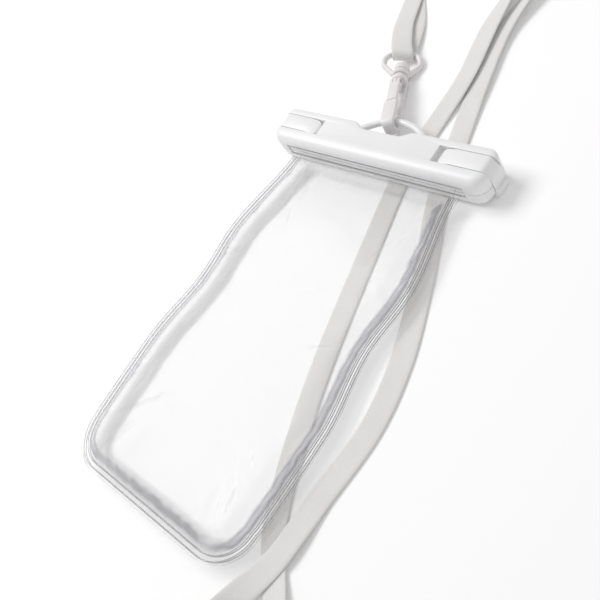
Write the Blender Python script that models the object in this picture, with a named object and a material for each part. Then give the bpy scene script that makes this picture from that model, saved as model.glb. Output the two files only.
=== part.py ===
"""Waterproof phone case: a clear pouch, a two-piece clamp with side latches, a snap hook and a neck strap.

The case lies on its back. +X runs along the clamp, +Y points from the pouch to the hook, +Z is up
out of the front. The origin is the middle of the case's footprint, without the strap, on the floor.
"""
import math

import bmesh
import bpy
from mathutils import Matrix, Vector

MM = 0.001
GAP = 0.3 * MM                    # clearance between pieces that touch

# Pouch
POUCH_LENGTH = 158.8 * MM         # clamp's lower edge to the bottom weld
NECK_INSET = 2.2 * MM             # edge of the neck inside the ends of the inner strips
SHOULDER_FLARE = 6.5 * MM         # how far each edge stands out beyond the neck
WAIST_FLARE = 4.5 * MM
HIP_FLARE = 8.5 * MM
CORNER_RADIUS = 18.0 * MM         # bottom corners, seen from the front
FILM = 0.45 * MM                  # film thickness
RIM = 3.6 * MM                    # width of the welded rim
SIDE_RUN = 8.0 * MM               # how far the film takes to rise beside the rim
BOTTOM_RUN = 3.8 * MM             # and above the bottom weld
NECK_RUN = 7.0 * MM               # and below the clamp
PHONE_ROOM = 7.7 * MM             # depth of the pocket
WELD_HEIGHT = 5.2 * MM            # top of the rear film along the weld, above the floor
FILM_FLOOR = 1.45 * MM            # rear film above the floor, where the strap runs under it
FOOT_FLOOR = 0.05 * MM            # rear film above the floor, where it rests

# Clamp
CLAMP_LENGTH = 110.6 * MM
CLAMP_DEPTH = 17.1 * MM           # along Y
CLAMP_BACK = 1.4 * MM             # back of the rear bar above the floor
CLAMP_FRONT = 14.4 * MM           # front face above the floor
CLAMP_WALL = 3.0 * MM             # upper wall of both bars
PARTING = 7.2 * MM                # plane between the two halves
LOWER_BEVEL = 3.5 * MM            # sloping edge along the front bar
UPPER_EDGE = 1.4 * MM             # rounding of the front bar's upper edge
REAR_EDGE = 1.6 * MM              # and of the rear bar's edges
LOWER_CORNER = 6.0 * MM
UPPER_CORNER = 5.0 * MM
END_DROP = 3.6 * MM               # length over which the bars' ends curve away
END_SHARE = 0.45                  # and the share of their height that they lose
NOTCH_HALF_TOP = 16.0 * MM
NOTCH_HALF_BOTTOM = 9.0 * MM
NOTCH_DEPTH = 3.0 * MM

# Inner strips, which hold the film to each bar
STRIP_THICKNESS = 1.75 * MM
STRIP_INSET = 9.1 * MM            # end of a strip inside the end of its bar
GROOVE_WIDTH = 3.2 * MM
GROOVE_DEPTH = 1.4 * MM
RIVET_RADIUS = 0.9 * MM
RIVET_INSET = 8.2 * MM            # outer rivets inside the ends of the strips
RIVET_SPACING = 24.0 * MM         # from an outer rivet to the next
RIVET_BITE = 1.0 * MM             # how far a rivet goes into its bar

# Latches
LATCH_WIDTH = 7.0 * MM            # along Y
LATCH_UPPER_MARGIN = 3.5 * MM     # clamp's upper edge to the latch channel
TONGUE_THICKNESS = 2.1 * MM
TONGUE_LENGTH = 17.3 * MM         # from the pivot to the tip
NAIL_RECESS = 4.2 * MM            # gap before the tip, for a fingernail
PIVOT_INSET = 3.8 * MM            # pivot inside the end of the bars
KNUCKLE_RADIUS = 3.6 * MM
PIN_RADIUS = 1.2 * MM
PIN_INSET = 1.8 * MM              # end of the pin inside the clamp's edge
LATCH_SHOULDER = 1.6 * MM         # inner corner between the tongue and the end wall
WALL_REACH = 1.1 * MM             # latch's end wall beyond the bars' ends
LIP_REACH = 3.0 * MM              # and its thumb lip

# Eyelet, moulded on the rear bar
EYELET_RADIUS = 23.8 * MM         # centre line
EYELET_WIRE = 1.9 * MM            # radius of its round section
EYELET_RISE = 8.1 * MM            # top of the centre line above the clamp's upper edge
EYELET_HEIGHT = 6.8 * MM          # centre above the floor

# Snap hook, in its own frame: Y along the hook from the eyelet's wire, Z across its legs
HOOK_X = -5.2 * MM                # where it hangs on the eyelet
HOOK_LEAN = math.radians(27.5)
LEG_CLEARANCE = 0.3 * MM
LEG_THICKNESS = 1.9 * MM
NOSE_HALF_WIDTH = 3.1 * MM
GATE_HALF_WIDTH = 2.4 * MM
BEND_INSIDE = 3.5 * MM
BEND_THICKNESS = 2.4 * MM
NOSE_TIP = 12.0 * MM
GATE_PIVOT = 22.4 * MM
GATE_PIN_RADIUS = 0.6 * MM
LUG_RADIUS = 1.9 * MM
LUG_HALF_WIDTH = 0.8 * MM
COLLAR_START = 24.5 * MM
COLLAR_RADIUS = 3.6 * MM
COLLAR_LENGTH = 3.8 * MM
STEM_RADIUS = 1.5 * MM
KNOB_RADIUS = 3.5 * MM
KNOB_LENGTH = 5.4 * MM

# Swivel ring
BOSS_LENGTH = 2.4 * MM
BOSS_RADIUS = 3.8 * MM
RING_WIRE = 1.3 * MM              # radius of its section
RING_HALF_WIDTH = 9.2 * MM        # centre line
RING_LENGTH = 15.0 * MM           # centre line, boss to upper bar

# Strap
STRAP_WIDTH = 9.4 * MM
STRAP_THICKNESS = 0.9 * MM
STRAP_FLOOR = 0.1 * MM            # lowest edge of the strap above the floor
LAYER_LIFT = 1.25 * MM            # one layer of strap on another
CRIMP_START = 88.0 * MM           # distance from the eyelet's wire
CRIMP_LENGTH = 9.0 * MM
CRIMP_HALF_WIDTH = 5.6 * MM
CRIMP_HEIGHT = 3.3 * MM

# The strap's route: x, y in millimetres, roll in degrees (0 flat, 90 on edge), layers below it
STRAP_ROUTE = (
    (-62.5, 172.5, -60, 0.6), (-68.5, 193, -90, 0), (-57, 217, -90, 0), (-29, 229, -90, 0),
    (0, 218, -90, 0), (13.5, 194, -90, 0), (16.5, 162, -45, 0), (13.4, 131, -14, 0),
    (18.2, 103, -9, 0), (24.5, 76, -2, 0), (32.5, 46, 0, 0), (42.1, 23.9, 0, 0),
    (49.6, 5.2, 0, 0), (58.1, -19.7, 0, 0), (62, -45, 0, 0), (59.9, -73, 0, 0.2),
    (58.6, -97, 0, 1), (52, -121, 35, 0.3), (49, -144, 90, 0), (60, -164, 90, 0),
    (80, -164, 90, 0), (89, -144, 90, 0), (79, -121, 35, 0), (57, -97, 0, 0),
    (46, -79, 0, 0), (31.5, -38, 0, 0), (17.5, 20, 0, 0), (10.8, 52, 0, 0),
    (10.4, 76, 2, 0), (10.8, 103, 9, 0.5), (7, 131, 14, 1), (5.5, 162, 45, 0),
    (1.5, 187, 90, 0), (-11, 206, 90, 0), (-30, 215, 90, 0), (-50, 207, 90, 0),
    (-60, 190, 90, 0), (-58.6, 172.5, 60, 0),
)
STRAP_STEP = 8.0 * MM

# Places worked out from the sizes above
KNOB_START = COLLAR_START + COLLAR_LENGTH + BOSS_LENGTH + 2 * GAP
BOSS_MIDDLE = COLLAR_START + COLLAR_LENGTH + GAP + BOSS_LENGTH / 2
RING_BAR = BOSS_MIDDLE + RING_LENGTH
RING_BAR_HEIGHT = STRAP_FLOOR + STRAP_THICKNESS + 2 * GAP + RING_WIRE
HOOK_TILT = math.asin((EYELET_HEIGHT - RING_BAR_HEIGHT) / RING_BAR)
HOOK_REACH = (RING_BAR + RING_WIRE) * math.cos(HOOK_LEAN) * math.cos(HOOK_TILT)
CASE_LENGTH = POUCH_LENGTH + CLAMP_DEPTH + EYELET_RISE + HOOK_REACH
POUCH_BOTTOM = -CASE_LENGTH / 2
CLAMP_LOW = POUCH_BOTTOM + POUCH_LENGTH
CLAMP_TOP = CLAMP_LOW + CLAMP_DEPTH
CLAMP_HALF = CLAMP_LENGTH / 2
PIVOT_X = CLAMP_HALF - PIVOT_INSET
TONGUE_TIP = PIVOT_X - TONGUE_LENGTH
STRIP_HALF_LENGTH = CLAMP_HALF - STRIP_INSET
OUTER_RIVET = STRIP_HALF_LENGTH - RIVET_INSET
INNER_RIVET = OUTER_RIVET - RIVET_SPACING
RIVET_PLACES = (-OUTER_RIVET, -INNER_RIVET, INNER_RIVET, OUTER_RIVET)
NECK_HALF_WIDTH = STRIP_HALF_LENGTH - NECK_INSET
SHOULDER_HALF_WIDTH = NECK_HALF_WIDTH + SHOULDER_FLARE
WAIST_HALF_WIDTH = NECK_HALF_WIDTH + WAIST_FLARE
HIP_HALF_WIDTH = NECK_HALF_WIDTH + HIP_FLARE
LATCH_HIGH = CLAMP_TOP - LATCH_UPPER_MARGIN - GAP
LATCH_LOW = LATCH_HIGH - LATCH_WIDTH
CHANNEL_FLOOR = CLAMP_FRONT - TONGUE_THICKNESS - GAP
PIVOT_Z = KNUCKLE_RADIUS
EYELET_CENTRE = CLAMP_TOP + EYELET_RISE - EYELET_RADIUS
FRONT_STRIP_LOW = PARTING + GAP / 2
FRONT_STRIP_HIGH = FRONT_STRIP_LOW + STRIP_THICKNESS
REAR_STRIP_HIGH = PARTING - GAP / 2
REAR_STRIP_LOW = REAR_STRIP_HIGH - STRIP_THICKNESS
FRONT_FILM_IN_CLAMP = FRONT_STRIP_HIGH + GAP
REAR_FILM_IN_CLAMP = REAR_STRIP_LOW - GAP - FILM
FRONT_CEILING = FRONT_FILM_IN_CLAMP + FILM + GAP
REAR_CEILING = REAR_FILM_IN_CLAMP - GAP
RECESS_TOP = CLAMP_TOP - CLAMP_WALL
GROOVE_Y = (CLAMP_LOW + RECESS_TOP) / 2
RIVET_Y = RECESS_TOP - 2.6 * MM
LEG_INSIDE = EYELET_WIRE + LEG_CLEARANCE
LEG_OUTSIDE = LEG_INSIDE + LEG_THICKNESS


def clear_scene():
    for item in list(bpy.data.objects):
        bpy.data.objects.remove(item, do_unlink=True)


def make_material(name, colour, roughness, metallic=0.0, alpha=1.0):
    material = bpy.data.materials.new(name)
    material.use_nodes = True
    shader = material.node_tree.nodes["Principled BSDF"]
    shader.inputs["Base Color"].default_value = (*colour, 1.0)
    shader.inputs["Roughness"].default_value = roughness
    shader.inputs["Metallic"].default_value = metallic
    shader.inputs["Alpha"].default_value = alpha
    return material


def make_object(name, mesh_builder, material=None, place=None):
    """Turns a bmesh into an object; place is a matrix that goes into the mesh."""
    if place is not None:
        bmesh.ops.transform(mesh_builder, matrix=place, verts=mesh_builder.verts)
    bmesh.ops.recalc_face_normals(mesh_builder, faces=mesh_builder.faces)
    mesh = bpy.data.meshes.new(name)
    mesh_builder.to_mesh(mesh)
    mesh_builder.free()
    if material is not None:
        mesh.materials.append(material)
    item = bpy.data.objects.new(name, mesh)
    bpy.context.scene.collection.objects.link(item)
    return item


def set_origin(item, point):
    """Moves an object's origin to a point on its joint's axis, with the mesh left in place."""
    item.data.transform(Matrix.Translation(-Vector(point)))
    item.location = point


def finish(item, sharp=35.0):
    item.data.shade_smooth()
    item.data.set_sharp_from_angle(angle=math.radians(sharp))
    return item


def rounded(corners, steps=4):
    """An outline from (a, b, radius) corners, with each corner drawn as an arc."""
    outline = []
    count = len(corners)
    for index, (a, b, radius) in enumerate(corners):
        here = Vector((a, b))
        back = (Vector(corners[index - 1][:2]) - here)
        ahead = (Vector(corners[(index + 1) % count][:2]) - here)
        if radius <= 0:
            outline.append(here)
            continue
        half = back.angle(ahead) / 2
        reach = min(radius / math.tan(half), back.length * 0.49, ahead.length * 0.49)
        size = reach * math.tan(half)
        centre = here + (back.normalized() + ahead.normalized()).normalized() * size / math.sin(half)
        first = here + back.normalized() * reach - centre
        last = here + ahead.normalized() * reach - centre
        sweep = first.angle_signed(last)
        for step in range(steps + 1):
            turn = -sweep * step / steps
            spin = Matrix.Rotation(turn, 2)
            outline.append(centre + spin @ first)
    return outline


def prism(outline, axis, low, high):
    """A closed prism: the outline is (y, z) along X, (x, z) along Y or (x, y) along Z."""
    builder = bmesh.new()
    ends = []
    for level in (low, high):
        ring = []
        for a, b in outline:
            place = {"X": (level, a, b), "Y": (a, level, b), "Z": (a, b, level)}[axis]
            ring.append(builder.verts.new(place))
        ends.append(ring)
    count = len(outline)
    for index in range(count):
        following = (index + 1) % count
        builder.faces.new((ends[0][index], ends[0][following], ends[1][following], ends[1][index]))
    builder.faces.new(ends[0])
    builder.faces.new(list(reversed(ends[1])))
    return builder


def box(low, high):
    corners = [(low[0], low[1]), (high[0], low[1]), (high[0], high[1]), (low[0], high[1])]
    return prism([Vector(corner) for corner in corners], "Z", low[2], high[2])


def cylinder(start, end, radius, sides=16):
    start = Vector(start)
    axis = Vector(end) - start
    builder = bmesh.new()
    bmesh.ops.create_cone(
        builder, cap_ends=True, segments=sides, radius1=radius, radius2=radius, depth=axis.length)
    turn = Vector((0, 0, 1)).rotation_difference(axis).to_matrix().to_4x4()
    place = Matrix.Translation(start + axis / 2) @ turn
    bmesh.ops.transform(builder, matrix=place, verts=builder.verts)
    return builder


def turned(profile, sides=24):
    """A solid turned about the Y axis from (radius, y) points; both ends close on the axis."""
    builder = bmesh.new()
    rings = []
    for radius, along in profile:
        ring = []
        for index in range(sides):
            angle = 2 * math.pi * index / sides
            ring.append(builder.verts.new((radius * math.cos(angle), along, radius * math.sin(angle))))
        rings.append(ring)
    for near, far in zip(rings, rings[1:]):
        for index in range(sides):
            following = (index + 1) % sides
            builder.faces.new((near[index], near[following], far[following], far[index]))
    builder.faces.new(rings[0])
    builder.faces.new(list(reversed(rings[-1])))
    return builder


def sweep_tube(points, radius, sides=10, closed=False):
    """A round tube along points that lie in one plane of constant Z."""
    builder = bmesh.new()
    rings = []
    count = len(points)
    for index, point in enumerate(points):
        before = points[index - 1] if closed or index > 0 else point
        after = points[(index + 1) % count] if closed or index < count - 1 else point
        tangent = (after - before).normalized()
        side = tangent.cross(Vector((0, 0, 1))).normalized()
        ring = []
        for step in range(sides):
            angle = 2 * math.pi * (step + 0.5) / sides
            offset = side * math.cos(angle) + Vector((0, 0, 1)) * math.sin(angle)
            ring.append(builder.verts.new(point + offset * radius))
        rings.append(ring)
    pairs = list(zip(rings, rings[1:]))
    if closed:
        pairs.append((rings[-1], rings[0]))
    for near, far in pairs:
        for step in range(sides):
            following = (step + 1) % sides
            builder.faces.new((near[step], near[following], far[following], far[step]))
    if not closed:
        builder.faces.new(rings[0])
        builder.faces.new(list(reversed(rings[-1])))
    return builder


def sweep_ribbon(centres, sides, width, thickness):
    """A flat ribbon: at each centre the side vector gives the direction of its width."""
    builder = bmesh.new()
    rings = []
    last = len(centres) - 1
    for index, (centre, side) in enumerate(zip(centres, sides)):
        tangent = (centres[min(index + 1, last)] - centres[max(index - 1, 0)]).normalized()
        side = (side - tangent * side.dot(tangent)).normalized()
        normal = tangent.cross(side).normalized()
        ring = []
        for across, out in ((-1, -1), (1, -1), (1, 1), (-1, 1)):
            offset = side * across * width / 2 + normal * out * thickness / 2
            ring.append(builder.verts.new(centre + offset))
        rings.append(ring)
    for near, far in zip(rings, rings[1:]):
        for step in range(4):
            following = (step + 1) % 4
            builder.faces.new((near[step], near[following], far[following], far[step]))
    builder.faces.new(rings[0])
    builder.faces.new(list(reversed(rings[-1])))
    return builder


def combine(item, builder, operation, place=None):
    """Cuts, joins or intersects an object with a solid that is then thrown away."""
    tool = make_object("tool", builder, place=place)
    modifier = item.modifiers.new("cut", "BOOLEAN")
    modifier.operation = operation
    modifier.solver = "EXACT"
    modifier.object = tool
    bpy.context.view_layer.update()
    graph = bpy.context.evaluated_depsgraph_get()
    result = bpy.data.meshes.new_from_object(item.evaluated_get(graph))
    item.modifiers.clear()
    tidy = bmesh.new()
    tidy.from_mesh(result)
    bmesh.ops.remove_doubles(tidy, verts=tidy.verts, dist=0.002 * MM)
    tidy.to_mesh(result)
    tidy.free()
    old = item.data
    name = old.name
    item.data = result
    bpy.data.meshes.remove(old)
    result.name = name
    bpy.data.objects.remove(tool, do_unlink=True)
    return item


def smoothstep(value):
    value = max(0.0, min(1.0, value))
    return value * value * (3 - 2 * value)


# Clamp bars
def corner_inset(x, radius):
    """How far a rounded corner of the clamp draws the edge in at x."""
    past = abs(x) - (CLAMP_HALF - radius)
    if past <= 0:
        return 0.0
    return radius - math.sqrt(max(radius ** 2 - past ** 2, 0.0))


def notch_inset(x):
    return NOTCH_DEPTH * smoothstep((NOTCH_HALF_TOP - abs(x)) / (NOTCH_HALF_TOP - NOTCH_HALF_BOTTOM))


def bar_stations():
    """Places along the clamp: close at the rounded ends and at the notch."""
    near = [CLAMP_HALF - LOWER_CORNER * (1 - math.sin(math.radians(angle)))
            for angle in (0, 18, 36, 52, 66, 78, 90)]
    middle = [NOTCH_HALF_BOTTOM + (NOTCH_HALF_TOP - NOTCH_HALF_BOTTOM) * step / 6 for step in range(7)]
    right = middle + near
    return [-x for x in reversed(right)] + right


def loft_bar(name, material, profile, face, edge, notched):
    """A bar drawn through end profiles of (edge, distance from it, share of its height)."""
    builder = bmesh.new()
    rings = []
    for x in bar_stations():
        low = CLAMP_LOW + corner_inset(x, LOWER_CORNER)
        high = CLAMP_TOP - corner_inset(x, UPPER_CORNER) - (notch_inset(x) if notched else 0)
        past = max(0.0, abs(x) - (CLAMP_HALF - END_DROP)) / END_DROP
        height = (edge - face) * (1 - END_SHARE * (1 - math.sqrt(max(0.0, 1 - past ** 2))))
        ring = []
        for side, distance, share in profile:
            y = low + distance if side == "low" else high - distance
            ring.append(builder.verts.new((x, y, face + height * share)))
        rings.append(ring)
    count = len(profile)
    for near, far in zip(rings, rings[1:]):
        for index in range(count):
            following = (index + 1) % count
            builder.faces.new((near[index], near[following], far[following], far[index]))
    builder.faces.new(rings[0])
    builder.faces.new(list(reversed(rings[-1])))
    return make_object(name, builder, material)


def arc_profile(side, radius, height, start, end, steps=4):
    """Profile points of a rounded edge with the given radius and share of the height."""
    points = []
    for step in range(steps + 1):
        angle = math.radians(start + (end - start) * step / steps)
        points.append((side, radius * (1 - math.cos(angle)), 1 - height * (1 - math.sin(angle))))
    return points


def drill_rivets(item, low, high):
    """The holes that the rivets pass through."""
    for x in RIVET_PLACES:
        hole = cylinder((x, RIVET_Y, low), (x, RIVET_Y, high), RIVET_RADIUS + GAP)
        combine(item, hole, "DIFFERENCE")


def latch_channel(side):
    """The solid that a latch takes out of the front bar: tongue, inner corner and end wall."""
    low = FRONT_STRIP_LOW - MM
    high = CLAMP_FRONT + MM
    corner = LATCH_SHOULDER - GAP * (2 - math.sqrt(2))
    root = side * (TONGUE_TIP - NAIL_RECESS)
    turn = side * (PIVOT_X + 1.3 * MM)
    past = side * (CLAMP_HALF + 5 * MM)
    outline = [Vector(point) for point in (
        (root, high), (root, CHANNEL_FLOOR), (turn - side * corner, CHANNEL_FLOOR),
        (turn, CHANNEL_FLOOR - corner), (turn, low), (past, low), (past, high))]
    return prism(outline, "Y", LATCH_LOW - GAP, LATCH_HIGH + GAP)


def build_front_bar(material):
    low = FRONT_STRIP_LOW
    high = CLAMP_FRONT
    tall = high - low
    profile = [("low", 0, 0), ("high", 0, 0)]
    profile += arc_profile("high", UPPER_EDGE, UPPER_EDGE / tall, 0, 90)
    profile += arc_profile("low", LOWER_BEVEL, LOWER_BEVEL / tall, 90, 0, steps=5)
    item = loft_bar("front_bar", material, profile, low, high, True)
    inner = STRIP_HALF_LENGTH + GAP
    recess = box((-inner, CLAMP_LOW - 5 * MM, low - MM), (inner, RECESS_TOP, FRONT_CEILING))
    combine(item, recess, "DIFFERENCE")
    for side in (-1, 1):
        combine(item, latch_channel(side), "DIFFERENCE")
    drill_rivets(item, low - MM, FRONT_CEILING + RIVET_BITE + GAP)
    return finish(item)


def eyelet_points(steps=18):
    """The centre line of the eyelet, from one foot inside the rear bar to the other."""
    foot = CLAMP_TOP - 1.6 * MM - EYELET_CENTRE
    spread = math.acos(foot / EYELET_RADIUS)
    points = []
    for step in range(steps + 1):
        angle = -spread + 2 * spread * step / steps
        points.append(Vector((EYELET_RADIUS * math.sin(angle),
                              EYELET_CENTRE + EYELET_RADIUS * math.cos(angle), EYELET_HEIGHT)))
    return points


def eyelet():
    """The eyelet's wire, cut off where its feet would rise above the parting plane."""
    loop = make_object("loop", sweep_tube(eyelet_points(), EYELET_WIRE, sides=12))
    above = box((-CLAMP_HALF, CLAMP_LOW, REAR_STRIP_HIGH),
                (CLAMP_HALF, CLAMP_TOP + GAP, REAR_STRIP_HIGH + 9 * MM))
    combine(loop, above, "DIFFERENCE")
    builder = bmesh.new()
    builder.from_mesh(loop.data)
    bpy.data.objects.remove(loop, do_unlink=True)
    return builder


def pin_line(side, spare=0.0):
    """The two ends of a latch's pin, or of the hole that it goes in."""
    start = CLAMP_LOW + PIN_INSET + LOWER_CORNER * 0.2 - spare
    end = CLAMP_TOP - PIN_INSET + spare
    return (side * PIVOT_X, start, PIVOT_Z), (side * PIVOT_X, end, PIVOT_Z)


def build_rear_bar(material):
    low = CLAMP_BACK
    high = REAR_STRIP_HIGH
    tall = high - low
    profile = [("low", 0, 0), ("high", 0, 0)]
    profile += arc_profile("high", REAR_EDGE, REAR_EDGE / tall, 0, 90)
    profile += arc_profile("low", REAR_EDGE, REAR_EDGE / tall, 90, 0)
    item = loft_bar("rear_bar", material, profile, high, low, False)
    inner = STRIP_HALF_LENGTH + GAP
    recess = box((-inner, CLAMP_LOW - 5 * MM, REAR_CEILING), (inner, RECESS_TOP, high + MM))
    combine(item, recess, "DIFFERENCE")
    wall = PIVOT_X - KNUCKLE_RADIUS - 0.7 * MM
    for side in (-1, 1):
        ends = sorted((side * wall, side * (CLAMP_HALF + 5 * MM)))
        channel = box((ends[0], LATCH_LOW - GAP, low - MM), (ends[1], LATCH_HIGH + GAP, high + MM))
        combine(item, channel, "DIFFERENCE")
        combine(item, cylinder(*pin_line(side, GAP), PIN_RADIUS + GAP), "DIFFERENCE")
    drill_rivets(item, REAR_CEILING - RIVET_BITE - GAP, high + MM)
    combine(item, eyelet(), "UNION")
    return finish(item)


# Inner strips, gasket and rivets
def strip_plate(name, material, low, high):
    """A flat strip with round corners."""
    low_edge = CLAMP_LOW + GAP
    high_edge = RECESS_TOP - GAP
    outline = rounded([
        (-STRIP_HALF_LENGTH, low_edge, MM), (STRIP_HALF_LENGTH, low_edge, MM),
        (STRIP_HALF_LENGTH, high_edge, MM), (-STRIP_HALF_LENGTH, high_edge, MM)], steps=3)
    return make_object(name, prism(outline, "Z", low, high), material)


def build_front_strip(material):
    """The strip with the rib that presses on the seal."""
    item = strip_plate("front_inner_strip", material, FRONT_STRIP_LOW, FRONT_STRIP_HIGH)
    half = GROOVE_WIDTH / 2 - 2 * GAP
    reach = STRIP_HALF_LENGTH - 3 * MM - 2 * GAP
    rib = box((-reach, GROOVE_Y - half, REAR_STRIP_HIGH - GROOVE_DEPTH / 4),
              (reach, GROOVE_Y + half, FRONT_STRIP_LOW + GAP))
    combine(item, rib, "UNION")
    drill_rivets(item, FRONT_STRIP_LOW - MM, FRONT_STRIP_HIGH + MM)
    return finish(item)


def build_rear_strip(material):
    """The strip with the groove that the seal lies in."""
    item = strip_plate("rear_inner_strip", material, REAR_STRIP_LOW, REAR_STRIP_HIGH)
    half = GROOVE_WIDTH / 2
    reach = STRIP_HALF_LENGTH - 3 * MM
    groove = box((-reach, GROOVE_Y - half, REAR_STRIP_HIGH - GROOVE_DEPTH),
                 (reach, GROOVE_Y + half, REAR_STRIP_HIGH + MM))
    combine(item, groove, "DIFFERENCE")
    drill_rivets(item, REAR_STRIP_LOW - MM, REAR_STRIP_HIGH + MM)
    return finish(item)


def build_gasket(material):
    half = GROOVE_WIDTH / 2 - GAP
    reach = STRIP_HALF_LENGTH - 3 * MM - GAP
    bottom = REAR_STRIP_HIGH - GROOVE_DEPTH + GAP
    top = REAR_STRIP_HIGH - GROOVE_DEPTH / 4 - GAP
    section = rounded([
        (GROOVE_Y - half, bottom, 0.1 * MM), (GROOVE_Y + half, bottom, 0.1 * MM),
        (GROOVE_Y + half * 0.8, top, 0.4 * MM), (GROOVE_Y - half * 0.8, top, 0.4 * MM)], steps=3)
    return finish(make_object("seal_gasket", prism(section, "X", -reach, reach), material))


def build_front_rivet(number, material):
    x = RIVET_PLACES[number - 1]
    shank = cylinder((x, RIVET_Y, FRONT_STRIP_LOW + GAP), (x, RIVET_Y, FRONT_CEILING + RIVET_BITE),
                     RIVET_RADIUS, sides=12)
    return finish(make_object(f"front_rivet_{number}", shank, material))


def build_rear_rivet(number, material):
    x = RIVET_PLACES[number - 1]
    shank = cylinder((x, RIVET_Y, REAR_CEILING - RIVET_BITE), (x, RIVET_Y, REAR_STRIP_HIGH - GAP),
                     RIVET_RADIUS, sides=12)
    return finish(make_object(f"rear_rivet_{number}", shank, material))


# Latches
def latch_outline():
    """The right latch seen from below: tongue, end wall, thumb lip and the knuckle round its pin."""
    end = CLAMP_HALF + WALL_REACH
    lip = CLAMP_HALF + LIP_REACH
    top = CLAMP_FRONT
    under = top - TONGUE_THICKNESS
    inner = PIVOT_X + 1.6 * MM
    outline = rounded([
        (TONGUE_TIP - 0.4 * MM, under, 0.4 * MM), (TONGUE_TIP, top, 1.2 * MM),
        (CLAMP_HALF - 2.6 * MM, top, 2.4 * MM), (end - 0.2 * MM, top - 4.9 * MM, 1.8 * MM),
        (end, 4.6 * MM, 0.5 * MM), (lip, 4.1 * MM, 0.5 * MM), (lip, 2.0 * MM, 0.6 * MM),
        (end, 0, 0.8 * MM), (PIVOT_X, 0, 0)])
    for step in range(1, 13):
        angle = math.radians(-90 - 205 * step / 12)
        outline.append(Vector((PIVOT_X + KNUCKLE_RADIUS * math.cos(angle),
                               PIVOT_Z + KNUCKLE_RADIUS * math.sin(angle))))
    shoulder = [(inner, PIVOT_Z + KNUCKLE_RADIUS + 0.6 * MM, 0.2 * MM),
                (inner, under - LATCH_SHOULDER, 0.5 * MM), (inner - LATCH_SHOULDER, under, 0.5 * MM)]
    closing = [tuple(outline[-1]) + (0,)] + shoulder + [tuple(outline[0]) + (0,)]
    return outline + rounded(closing)[1:-1]


def build_latch(name, side, material):
    outline = [Vector((side * point.x, point.y)) for point in latch_outline()]
    item = make_object(name, prism(outline, "Y", LATCH_LOW, LATCH_HIGH), material)
    hole = cylinder((side * PIVOT_X, LATCH_LOW - MM, PIVOT_Z),
                    (side * PIVOT_X, LATCH_HIGH + MM, PIVOT_Z), PIN_RADIUS + GAP)
    combine(item, hole, "DIFFERENCE")
    set_origin(item, (side * PIVOT_X, (LATCH_LOW + LATCH_HIGH) / 2, PIVOT_Z))
    return finish(item)


def build_latch_pin(name, side, material):
    return finish(make_object(name, cylinder(*pin_line(side), PIN_RADIUS), material))


# Pouch films
def half_width(y):
    """Half the pouch's width at a height: neck, shoulder, waist and hips, then round corners."""
    stations = (
        (POUCH_BOTTOM, HIP_HALF_WIDTH - 1.5 * MM),
        (POUCH_BOTTOM + POUCH_LENGTH * 0.36, HIP_HALF_WIDTH),
        (POUCH_BOTTOM + POUCH_LENGTH * 0.57, WAIST_HALF_WIDTH),
        (POUCH_BOTTOM + POUCH_LENGTH * 0.72, SHOULDER_HALF_WIDTH),
        (CLAMP_LOW, NECK_HALF_WIDTH), (CLAMP_TOP, NECK_HALF_WIDTH))
    width = stations[-1][1]
    for (low, narrow), (high, wide) in zip(stations, stations[1:]):
        if y <= high:
            share = smoothstep((y - low) / (high - low))
            width = narrow + (wide - narrow) * share
            break
    below = POUCH_BOTTOM + CORNER_RADIUS - y
    if below > 0:
        below = min(below, CORNER_RADIUS)
        width += math.sqrt(CORNER_RADIUS ** 2 - below ** 2) - CORNER_RADIUS
    return width


def film_rows():
    """Heights of the mesh rows: close in the bottom corners, wider along the pouch."""
    rows = []
    for degrees in (0, 12, 24, 36, 48, 60, 75, 90):
        rows.append(POUCH_BOTTOM + CORNER_RADIUS * (1 - math.cos(math.radians(degrees))))
    start = rows[-1]
    stop = CLAMP_LOW - NECK_RUN
    count = 13
    for step in range(1, count + 1):
        rows.append(start + (stop - start) * step / count)
    for step in range(1, 4):
        rows.append(stop + (NECK_RUN - GAP) * step / 3)
    rows.append(RECESS_TOP - GAP)
    return rows


def film_columns(width):
    """Places of the mesh columns from edge to edge, close together beside the rim."""
    edge = [0, RIM, RIM + SIDE_RUN * 0.25, RIM + SIDE_RUN * 0.5, RIM + SIDE_RUN * 0.75, RIM + SIDE_RUN]
    inside = width - edge[-1]
    middle = [-inside + 2 * inside * step / 6 for step in range(1, 6)]
    left = [-width + offset for offset in edge]
    return left + middle + [-place for place in reversed(left)]


def film_rise(x, y, width):
    """How far the film has risen from the weld towards its panel, from 0 to 1."""
    side = smoothstep((width - abs(x) - RIM) / SIDE_RUN)
    bottom = smoothstep((y - POUCH_BOTTOM - RIM * 0.75) / BOTTOM_RUN)
    return side * bottom


def film_solid(height, rows):
    """A thin closed shell over the pouch's outline; height(x, y, width) is its underside."""
    builder = bmesh.new()
    under = []
    over = []
    for y in rows:
        width = half_width(y)
        columns = film_columns(width)
        under.append([builder.verts.new((x, y, height(x, y, width))) for x in columns])
        over.append([builder.verts.new((x, y, height(x, y, width) + FILM)) for x in columns])
    last_row = len(rows) - 1
    last_column = len(under[0]) - 1
    for row in range(last_row):
        for column in range(last_column):
            for sheet in (under, over):
                builder.faces.new((sheet[row][column], sheet[row][column + 1],
                                   sheet[row + 1][column + 1], sheet[row + 1][column]))
        for column in (0, last_column):
            builder.faces.new((under[row][column], under[row + 1][column],
                               over[row + 1][column], over[row][column]))
    for row in (0, last_row):
        for column in range(last_column):
            builder.faces.new((under[row][column], under[row][column + 1],
                               over[row][column + 1], over[row][column]))
    return builder


def in_clamp(y):
    """How far a film has gone from the pouch to its place in the clamp, from 0 to 1."""
    return smoothstep((y - (CLAMP_LOW - NECK_RUN)) / (NECK_RUN - GAP))


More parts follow.
